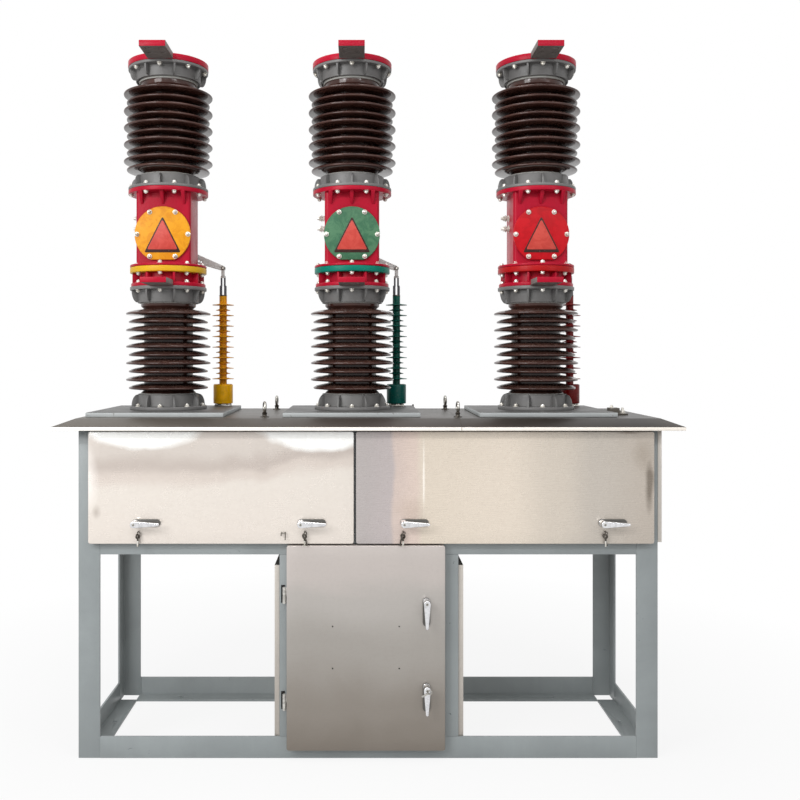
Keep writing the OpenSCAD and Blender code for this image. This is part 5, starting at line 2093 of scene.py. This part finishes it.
@dataclass
class Studio:
    """Pale floor, soft lamps, world light and the camera."""

    eye: tuple[float, float, float] = (-0.030, -3.498, 1.401)
    lens: float = 41.27
    shift: tuple[float, float] = (0.0506, -0.0546)
    ambient: float = 0.50

    def build(self) -> None:
        """Sets the studio up around the object."""
        self.camera()
        self.floor()
        self.world()
        self.lamp("key", (-3.0, -3.6, 3.0), (-0.1, 0, 1.2), (2.2, 2.2), 128)
        self.lamp("fill", (3.4, -3.6, 2.6), (0, 0, 1.2), (1.6, 1.6), 18)
        self.lamp("top", (-0.3, -0.8, 5.2), (0, 0, 1.0), (3.4, 1.6), 90)
        self.lamp("strip", (0, -3.5, 3.5), (0, 0, 2.0), (5.0, 0.16), 46)
        bpy.context.scene.view_settings.view_transform = "Standard"

    def camera(self) -> None:
        """Places the camera squarely in front of the object."""
        data = bpy.data.cameras.new("camera")
        data.lens = self.lens
        data.sensor_width = 36.0
        data.shift_x, data.shift_y = self.shift
        data.clip_end = 200.0
        made = bpy.data.objects.new("camera", data)
        made.location = self.eye
        made.rotation_euler = (math.pi / 2, 0, 0)
        bpy.context.scene.collection.objects.link(made)
        bpy.context.scene.camera = made

    def lamp(
        self, name: str, at: Sequence[float], aim: Sequence[float], size: tuple[float, float], power: float
    ) -> None:
        """Adds one soft lamp.

        Args:
            name: Name of the lamp.
            at: Its place.
            aim: The point it looks at.
            size: Its width and height.
            power: Its power in watts.
        """
        data = bpy.data.lights.new(f"lamp_{name}", "AREA")
        data.shape = "RECTANGLE"
        data.size, data.size_y = size
        data.energy = power
        made = bpy.data.objects.new(f"lamp_{name}", data)
        made.location = at
        made.rotation_euler = (Vector(aim) - Vector(at)).to_track_quat("-Z", "Y").to_euler()
        bpy.context.scene.collection.objects.link(made)

    def floor(self) -> None:
        """Lays a pale floor that keeps the shadow and fades to white."""
        ground = bmesh.new()
        bmesh.ops.create_grid(ground, x_segments=1, y_segments=1, size=40.0)
        mesh = bpy.data.meshes.new("floor")
        ground.to_mesh(mesh)
        ground.free()
        sheet = NodeSheet("floor_pale")
        tree = sheet.tree
        away = sheet.length(sheet.point((1, 1, 1)))
        far = sheet.span(away, 1.2, 2.6, 0.88, 1.0)
        sheet.done(base_color=(0.62, 0.62, 0.62), roughness=0.9, specular_ior_level=0.1)
        glow = tree.nodes.new("ShaderNodeEmission")
        glow.inputs["Color"].default_value = (1, 1, 1, 1)
        path = tree.nodes.new("ShaderNodeLightPath")
        seen = sheet.sum(path.outputs["Is Camera Ray"], path.outputs["Is Glossy Ray"], "MAXIMUM")
        seen = sheet.sum(seen, path.outputs["Is Transmission Ray"], "MAXIMUM")
        blend = tree.nodes.new("ShaderNodeMixShader")
        sheet.join(sheet.sum(far, seen, "MULTIPLY"), blend.inputs[0])
        sheet.join(sheet.shader.outputs[0], blend.inputs[1])
        sheet.join(glow.outputs[0], blend.inputs[2])
        sheet.join(blend.outputs[0], sheet.output.inputs[0])
        mesh.materials.append(sheet.material)
        made = bpy.data.objects.new("floor", mesh)
        bpy.context.scene.collection.objects.link(made)

    def world(self) -> None:
        """Fills the room with soft light, and white for the eye, for reflections and through glass."""
        world = bpy.data.worlds.new("room")
        world.use_nodes = True
        tree = world.node_tree
        tree.nodes.clear()
        output = tree.nodes.new("ShaderNodeOutputWorld")
        path = tree.nodes.new("ShaderNodeLightPath")
        seen = path.outputs["Is Camera Ray"]
        for ray in ("Is Glossy Ray", "Is Transmission Ray"):
            either = tree.nodes.new("ShaderNodeMath")
            either.operation = "MAXIMUM"
            tree.links.new(seen, either.inputs[0])
            tree.links.new(path.outputs[ray], either.inputs[1])
            seen = either.outputs[0]
        white = self.either(tree, seen, self.room_light(tree, self.ambient), self.room_light(tree, 1.0))
        tree.links.new(white.outputs[0], output.inputs[0])
        bpy.context.scene.world = world

    def room_light(self, tree: bpy.types.NodeTree, strength: float) -> bpy.types.Node:
        """Returns a white background shader of a strength."""
        made = tree.nodes.new("ShaderNodeBackground")
        made.inputs["Color"].default_value = (1, 1, 1, 1)
        made.inputs["Strength"].default_value = strength
        return made

    def either(
        self, tree: bpy.types.NodeTree, choice: bpy.types.NodeSocket, first: bpy.types.Node,
        second: bpy.types.Node
    ) -> bpy.types.Node:
        """Returns a shader that is the first one, or the second where the choice is 1."""
        made = tree.nodes.new("ShaderNodeMixShader")
        tree.links.new(choice, made.inputs[0])
        tree.links.new(first.outputs[0], made.inputs[1])
        tree.links.new(second.outputs[0], made.inputs[2])
        return made


def main() -> None:
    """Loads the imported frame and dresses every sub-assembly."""
    logging.basicConfig(level=logging.INFO, format="%(message)s")
    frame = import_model()
    record = frame["record"]
    slots = {entry["node"]: entry["material_slot"] for entry in record["subparts"]}
    packed = Packed(frame["nodes"], record["behaviour"]["bodies"], slots, frame["joints"])
    Studio().build()
    SteelFrame(packed).build()
    RoofCover(packed).build()
    Enclosures(packed).build()
    FrontFlap(packed, "left_flap", LEFT_PANEL, ("lever_1", "lever_2")).build()
    FrontFlap(packed, "right_flap", RIGHT_PANEL, ("lever_3", "lever_4")).build()
    CabinetDoor(packed, "cabinet_door", DOOR_SHEET, ("lever_5", "lever_6")).build()
    front = packed.low("left_flap").y + FoldedPanel.base_height
    for number in range(1, 7):
        LeverHandle(packed, f"lever_{number}", number > 4, number == 5).build()
        if number < 5:
            body = "left_flap" if number < 3 else "right_flap"
            HangingKeys(packed, f"lever_{number}", body, front, *KEY_PLACES[number - 1]).build()
    PanelStaple(packed).build()
    for phase in Phase:
        PoleColumn(packed, phase, twist=-2.2 if phase is Phase.LEFT else 0.0).build()
        SideInsulator(packed, phase).build()
    packed.eased("link_studs", ZINC, 0.0014)


if __name__ == "__main__":
    main()
